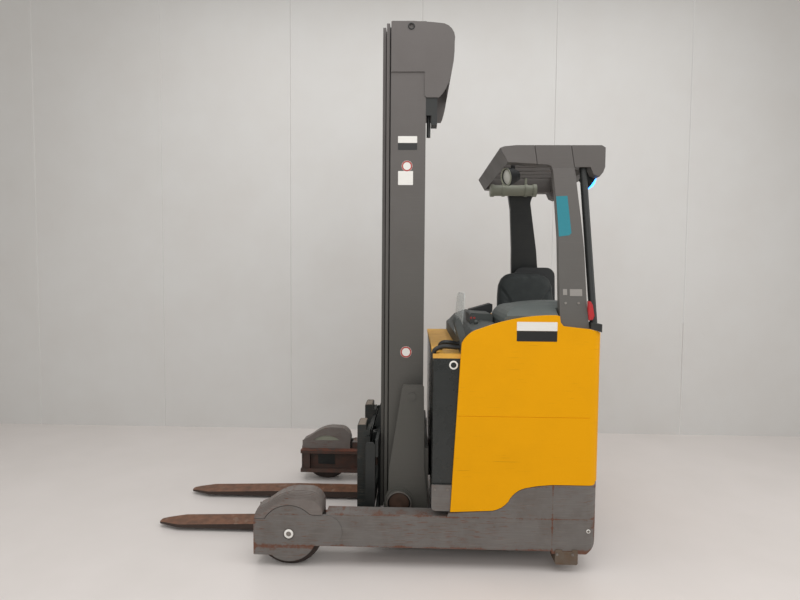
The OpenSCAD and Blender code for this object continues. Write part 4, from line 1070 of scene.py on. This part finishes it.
@dataclass
class SeatPads:
    """Padded seat: cushion and backrest. Sizes are in metres, angles in degrees."""

    middle_x: float = -1.030
    base: Place = (-1.030, -0.300, 0.900)
    lean: float = 6.0
    back_thick: float = 0.085
    voxel: float = 0.006
    pressure: float = 4.0
    frames: int = 20
    cap: float = 0.008
    # Only points in front of this y, in a pad's own space, are pressed in
    crease_y: float = -0.03
    corner_r: float = 0.085
    piping_r: float = 0.003

    def outline(self, corners: list[Pair], steps: int = 96) -> list[Pair]:
        """Spread points evenly round a closed outline."""
        p = np.array(corners + corners[:1], float)
        s = np.concatenate([[0], np.cumsum(np.hypot(*np.diff(p, axis=0).T))])
        t = np.linspace(0, s[-1], steps, endpoint=False)
        return list(zip(np.interp(t, s, p[:, 0]), np.interp(t, s, p[:, 1])))

    def pillow(
        self, name: str, edge: list[Pair], thick: float, inset: float, power: float = 0.5
    ) -> Shape:
        """A crowned closed form whose thickness runs along Y, from y = 0 to y = -thick.

        Args:
            name: Name used in the log.
            edge: Outline as (x, z), round the origin.
            thick: Thickness.
            inset: How far it starts inside its outline.
            power: 0.5 for a full edge, 1 for a round one.

        Returns:
            The form as a bmesh.
        """
        log.info("shaping %s", name)
        reach = max(max(abs(x), abs(z)) for x, z in edge)
        shrink = 1 - inset / reach
        maker = bmesh.new()
        rows = []
        levels = 11
        for k in range(-levels, levels + 1):
            a = math.pi / 2 * k / levels
            s = shrink * max(math.cos(a), 0.0) ** power
            h = math.copysign(abs(math.sin(a)) ** power, a) * (thick / 2 - inset) - thick / 2
            ring = [(0, 0)] if abs(k) == levels else edge
            rows.append([maker.verts.new((x * s, h, z * s)) for x, z in ring])
        return skinned(maker, rows)

    def swollen(self, name: str, maker: Shape, finish: Material) -> Piece:
        """Remesh a form, blow it up as cloth and keep the result."""
        rough = kept(name + "_form", mesh_from(maker, name), finish)
        remesh = rough.modifiers.new("even", "REMESH")
        remesh.mode = "VOXEL"
        remesh.voxel_size = self.voxel * 1
        bpy.context.view_layer.update()
        shown = rough.evaluated_get(bpy.context.evaluated_depsgraph_get())
        mesh = bpy.data.meshes.new_from_object(shown)
        bpy.data.objects.remove(rough)
        pad = kept(name, mesh, finish, False)
        self.blow(pad)
        pad.data.shade_smooth()
        return pad

    def blow(self, pad: Piece) -> None:
        """Run the cloth and cap how far each point moves."""
        start = np.array([v.co for v in pad.data.vertices], float)
        cloth = pad.modifiers.new("swell", "CLOTH")
        cloth.settings.use_pressure = True
        cloth.settings.uniform_pressure_force = self.pressure
        cloth.settings.effector_weights.gravity = 0.0
        cloth.point_cache.frame_end = self.frames
        scene = bpy.context.scene
        for frame in range(1, self.frames + 1):
            scene.frame_set(frame)
        shown = pad.evaluated_get(bpy.context.evaluated_depsgraph_get())
        ended = np.array([v.co for v in shown.data.vertices], float)
        pad.modifiers.remove(cloth)
        scene.frame_set(1)
        step = ended - start
        far = np.linalg.norm(step, axis=1, keepdims=True)
        step *= np.minimum(1, self.cap / np.maximum(far, 1e-9))
        pad.data.vertices.foreach_set("co", (start + step).astype(np.float32).ravel())
        pad.data.update()

    def creased(self, pad: Piece, lines: list[tuple], width: float) -> None:
        """Press sewn lines into the front of a pad.

        Args:
            pad: Pad whose front faces +Y, in its own space.
            lines: Ends of each line as (x0, z0, x1, z1).
            width: Half width of a crease and its depth.
        """
        for v in pad.data.vertices:
            if v.co.y < self.crease_y:
                continue
            for x0, z0, x1, z1 in lines:
                along = Vector((x1 - x0, z1 - z0))
                rel = Vector((v.co.x - x0, v.co.z - z0))
                t = min(max(rel.dot(along) / along.length_squared, 0), 1)
                gap = (rel - along * t).length
                fade = math.sin(math.pi * min(max(t, 0.06), 0.94)) ** 0.5
                v.co.y -= width * math.exp(-((gap / width) ** 2)) * fade
        pad.data.update()

    def piping(self, edge: list[Pair], share: float, y: float) -> Shape:
        """A sewn cord along the edge of a pad's front."""
        points = [(x * share, y, z * share) for x, z in edge]
        return tube(points + points[:2], self.piping_r, 8, 2)

    def back(self, paints: Paints) -> None:
        """Backrest with its sewn creases."""
        corners = []
        for middle, start in ((-0.120, 180), (0.120, 270)):
            for angle in range(start, start + 91, 15):
                a = math.radians(angle)
                corners.append((middle + self.corner_r * math.cos(a), 0.190 + self.corner_r * math.sin(a)))
        side = [(0.205, 0.400), (0.203, 0.490), (0.195, 0.570), (0.175, 0.618), (0.143, 0.646),
                (0.105, 0.658), (0.055, 0.663)]
        corners += side + [(0.0, 0.664)] + [(-x, z) for x, z in reversed(side)]
        mid = 0.384
        edge = self.outline([(x, z - mid) for x, z in corners])
        form = self.pillow("backrest", edge, self.back_thick, 0.005)
        pad = self.swollen("seat_back_pad", form, paints["cloth"])
        creases = [(side * 0.165, 0.155, side * 0.095, 0.045) for side, _ in SIDES]
        creases += [(side * 0.14, 0.075, side * 0.085, 0.03) for side, _ in SIDES]
        self.creased(pad, creases + [(-0.15, -0.17, 0.15, -0.17)], 0.009)
        turn = Matrix.Rotation(math.radians(self.lean), 4, "X")
        matrix = Matrix.Translation(self.base) @ turn @ Matrix.Translation((0, 0, mid))
        pad.data.transform(matrix)
        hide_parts("seat_back")
        riding(pad, Body.CHASSIS)
        cord = self.piping(edge, 0.93, -0.0075)
        bmesh.ops.transform(cord, matrix=matrix, verts=cord.verts)
        fitted("seat_back_piping", cord, paints["black_plastic"], Body.CHASSIS)

    def cushion(self, paints: Paints) -> None:
        """Seat cushion with a cross seam."""
        half, deep, thick, low = 0.19, 0.414, 0.11, 0.92
        edge = self.outline(rounded_box(2 * half, deep, 0.07))
        form = self.pillow("cushion", edge, thick, 0.005, 0.42)
        pad = self.swollen("seat_cushion_pad", form, paints["cloth"])
        creases = [(-0.13, -0.19, -0.13, 0.19), (0.13, -0.19, 0.13, 0.19), (-0.13, -0.07, 0.13, -0.07)]
        self.creased(pad, creases, 0.008)
        lay = Matrix(((1, 0, 0), (0, 0, -1), (0, 1, 0))).to_4x4()
        matrix = Matrix.Translation((self.middle_x, -0.08, low + thick)) @ lay
        pad.data.transform(matrix)
        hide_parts("seat_cushion")
        riding(pad, Body.CHASSIS)

    def build(self, paints: Paints) -> None:
        """Make both pads."""
        self.back(paints)
        self.cushion(paints)


@dataclass
class Lamps:
    """Lamp glass and rim, the lit rear lens and the red tail lamp. Metres and degrees."""

    lamp: Place = (-0.8, 0.28036, 2.080)
    lamp_turn: Pair = (100.0, 22.0)
    rear: Place = (-1.226, 0.33, 2.036)
    rear_turn: float = -123.0
    tail_y: float = 0.591

    def build(self, paints: Paints) -> None:
        """Make the glasses and lenses."""
        tip, swing = (math.radians(a) for a in self.lamp_turn)
        aim = Matrix.Rotation(swing, 4, "Z") @ Matrix.Rotation(tip, 4, "Y")
        back = Matrix.Rotation(math.radians(self.rear_turn), 4, "Y")
        for name, key, slot, place, turn, profile in (
            ("lamp_glass", "lamp_lens", "black_paint", self.lamp, aim,
             [(0, 0.0245), (0.0415, 0.0245), (0.0415, 0.0265), (0.03, 0.0315), (0.015, 0.034), (0, 0.035)]),
            ("lamp_rim", "lamp_paint", "black_paint", self.lamp, aim,
             [(0.0435, 0.0325), (0.0505, 0.0325), (0.0505, 0.038), (0.0435, 0.038), (0.0435, 0.0325)]),
            ("rear_light_lens", "blue_lens", "black_plastic", self.rear, back,
             [(0, 0.0003), (0.046, 0.0003), (0.045, 0.003), (0.040, 0.0065), (0.03, 0.0125),
              (0.015, 0.019), (0, 0.021)]),
        ):
            fitted(name, placed(turned(profile), place, turn), paints[key], Body.CHASSIS)
        tail = slab([(-1.1429, 1.299), (-1.1385, 1.350), (-1.1376, 1.397), (-1.150, 1.396),
                     (-1.161, 1.378), (-1.171, 1.322), (-1.163, 1.302)], 0.018, 0.003)
        placed(tail, (0.0, self.tail_y, 0.0))
        fitted("tail_lamp", tail, paints["red_lens"], Body.CHASSIS)


@dataclass
class BatteryLeads:
    """Smooth rubber leads over the CAD route. Points are in metres."""

    radius: float = 0.012
    upper: tuple[Place, ...] = (
        (-0.4997, 0.500, 1.160), (-0.484, 0.500, 1.160), (-0.462, 0.504, 1.164), (-0.438, 0.506, 1.167),
        (-0.418, 0.500, 1.165), (-0.406, 0.482, 1.156), (-0.402, 0.464, 1.145), (-0.402, 0.454, 1.133),
        (-0.402, 0.454, 1.1204),
    )
    lower: tuple[Place, ...] = (
        (-0.4997, 0.560, 1.148), (-0.484, 0.560, 1.148), (-0.440, 0.564, 1.152), (-0.412, 0.566, 1.152),
        (-0.390, 0.568, 1.147), (-0.371, 0.568, 1.136), (-0.366, 0.567, 1.124), (-0.366, 0.566, 1.112),
        (-0.366, 0.566, 1.0984),
    )

    def build(self, paints: Paints) -> None:
        """Make both leads, the first of which stands for the CAD leads."""
        for name, route in (("battery_lead_upper", self.upper), ("battery_lead_lower", self.lower)):
            piece = kept(name, mesh_from(tube(list(route), self.radius), name), paints["rubber"])
            if route is self.upper:
                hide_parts("battery_leads")
            riding(piece, Body.CHASSIS)


@dataclass
class Trim:
    """Small parts: axle and trunnion ends, arm plates, rings and screws. Sizes are in metres."""

    axle: Pair = (0.38, 0.175)
    cap_y: float = 0.6341
    trunnion: Pair = (-0.186, 0.261)
    trunnion_y: float = 0.4343
    trunnion_rim_y: float = 0.4521
    web_y: float = 0.513
    web_gap: float = 0.0003
    skirt_y: float = 0.5253
    skirt_top: float = 0.288
    cover_r: float = 0.1505
    dome_thick: float = 0.0035
    keeper_thick: float = 0.0025
    stop_thick: float = 0.0137

    def turned_ends(self, paints: Paints) -> None:
        """Turned parts on both sides of the truck, facing outwards."""
        cap = (Body.CHASSIS, "bare_steel", (self.axle[0], self.cap_y, self.axle[1]))
        end = (Body.REACH, "mast_paint", (self.trunnion[0], self.trunnion_y, self.trunnion[1]))
        rim = (Body.REACH, "mast_paint", (self.trunnion[0], self.trunnion_rim_y, self.trunnion[1]))
        for name, key, (body, slot, place), profile in (
            ("axle_rim", "white_film", cap,
             [(0.0135, 0.0), (0.0235, 0.0), (0.0235, 0.003), (0.021, 0.0045), (0.0135, 0.0045), (0.0135, 0.0)]),
            ("axle_centre", "steel", cap, [(0, 0.0), (0.0125, 0.0), (0.0125, 0.002), (0, 0.0025)]),
            ("trunnion_disc", "trunnion", end,
             [(0, 0.0), (0.055, 0.0), (0.055, 0.003), (0.05, 0.005), (0.012, 0.005), (0, 0.002)]),
            ("trunnion_ring", "black_film", end,
             [(0.0555, 0.0), (0.0628, 0.0), (0.0628, 0.002), (0.0555, 0.002), (0.0555, 0.0)]),
            ("trunnion_edge", "steel", rim,
             [(0.0633, 0.0), (0.0695, 0.0), (0.069, 0.0012), (0.064, 0.0012), (0.0633, 0.0)]),
        ):
            for side, hand in SIDES:
                turn = Matrix.Rotation(-QUARTER * side, 4, "X")
                part = placed(turned(profile), (place[0], side * place[1], place[2]), turn)
                fitted(name + "_" + hand, part, paints[key], body)

    def rings(self, paints: Paints) -> None:
        """Flat rings on the left side: the battery's, the mast's and a bolt's washer."""
        for name, body, slot, place, inner, outer, key in (
            ("battery_ring", Body.CHASSIS, "battery_case", (-0.464, 0.6117, 1.064), 0.0145, 0.0225,
             "white_film"),
            ("mast_top_ring", Body.REACH, "mast_paint", (-0.231, 0.3462, 2.878), 0.0135, 0.019,
             "black_film"),
            ("chassis_washer", Body.CHASSIS, "chassis_paint", (-1.160, 0.6302, 0.220), 0.0065, 0.010,
             "white_film"),
        ):
            ring = turned([
                (inner, 0.0), (outer, 0.0), (outer, 0.002), (outer - 0.002, 0.003), (inner, 0.003),
                (inner, 0.0),
            ])
            fitted(name, placed(ring, place, Matrix.Rotation(-QUARTER, 4, "X")), paints[key], body)

    def arm_plates(self, paints: Paints) -> None:
        """Plates on the arms' inner sides: half discs over the wheels, axle keepers and stops."""
        start = math.asin((self.skirt_top - self.axle[1]) / self.cover_r)
        steps = 24
        turns = [start + (math.pi - 2 * start) * k / steps for k in range(steps + 1)]
        dome = [(self.cover_r * math.cos(a), self.cover_r * math.sin(a)) for a in turns]
        web = self.web_y - self.web_gap
        for part, outline, centre, near, thick, key in (
            ("dome", dome, self.axle, self.skirt_y, self.dome_thick, "lamp_paint"),
            ("keeper", rounded_box(0.124, 0.074, 0.006), (0.38, 0.153), web - self.keeper_thick,
             self.keeper_thick, "black_paint"),
            ("stop", rounded_box(0.044, 0.058, 0.006), (0.522, 0.150), web - self.stop_thick,
             self.stop_thick, "black_paint"),
        ):
            for side, hand in SIDES:
                place = (centre[0], near if side > 0 else -near - thick, centre[1])
                maker = placed(slab(outline, thick), place)
                fitted("arm_" + part + "_" + hand, maker, paints[key], Body.CHASSIS)

    def screws(self, paints: Paints) -> None:
        """Screw and bolt heads on the roof, chassis, pillar and battery tray."""
        heads = BoltHeads(paints["steel"])
        up, out, leaning = (0.0, 0.0, 1.0), (0.0, 1.0, 0.0), (0.0, 1.0, 0.17)
        for name, slot, radius, way, places in (
            ("roof_screws", "mast_paint", 0.006, up,
             [(x, side * 0.43, 2.2092) for side, _ in SIDES for x in (-0.90, -0.98, -1.06)]),
            ("chassis_bolts", "chassis_paint", 0.0065, out,
             [(-1.160, 0.6302, 0.220), (-1.082, 0.6347, 0.098), (-1.003, 0.6347, 0.098)]),
            ("pillar_bolts", "mast_paint", 0.006, leaning, [(x, 0.5877, 1.385) for x in (-1.030, -1.095)]),
            ("tray_screws", "chassis_paint", 0.006, out, [(x, 0.6262, 0.42) for x in (-0.44, -0.375)]),
        ):
            heads.on(name, radius, way, places)

    def build(self, paints: Paints) -> None:
        """Make the small parts."""
        self.turned_ends(paints)
        self.rings(paints)
        self.arm_plates(paints)
        self.screws(paints)


def main() -> None:
    """Load the frame, dress it and build the pieces round it."""
    logging.basicConfig(level=logging.INFO, format="%(message)s")
    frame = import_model()
    paints = Paints()
    Studio().build()
    CadDress().dress(frame["nodes"], paints)
    for group in (BatteryLeads(), SeatPads(), Lamps(), Signs(), Trim()):
        group.build(paints)
        log.info("built %s", type(group).__name__)


if __name__ == "__main__":
    main()
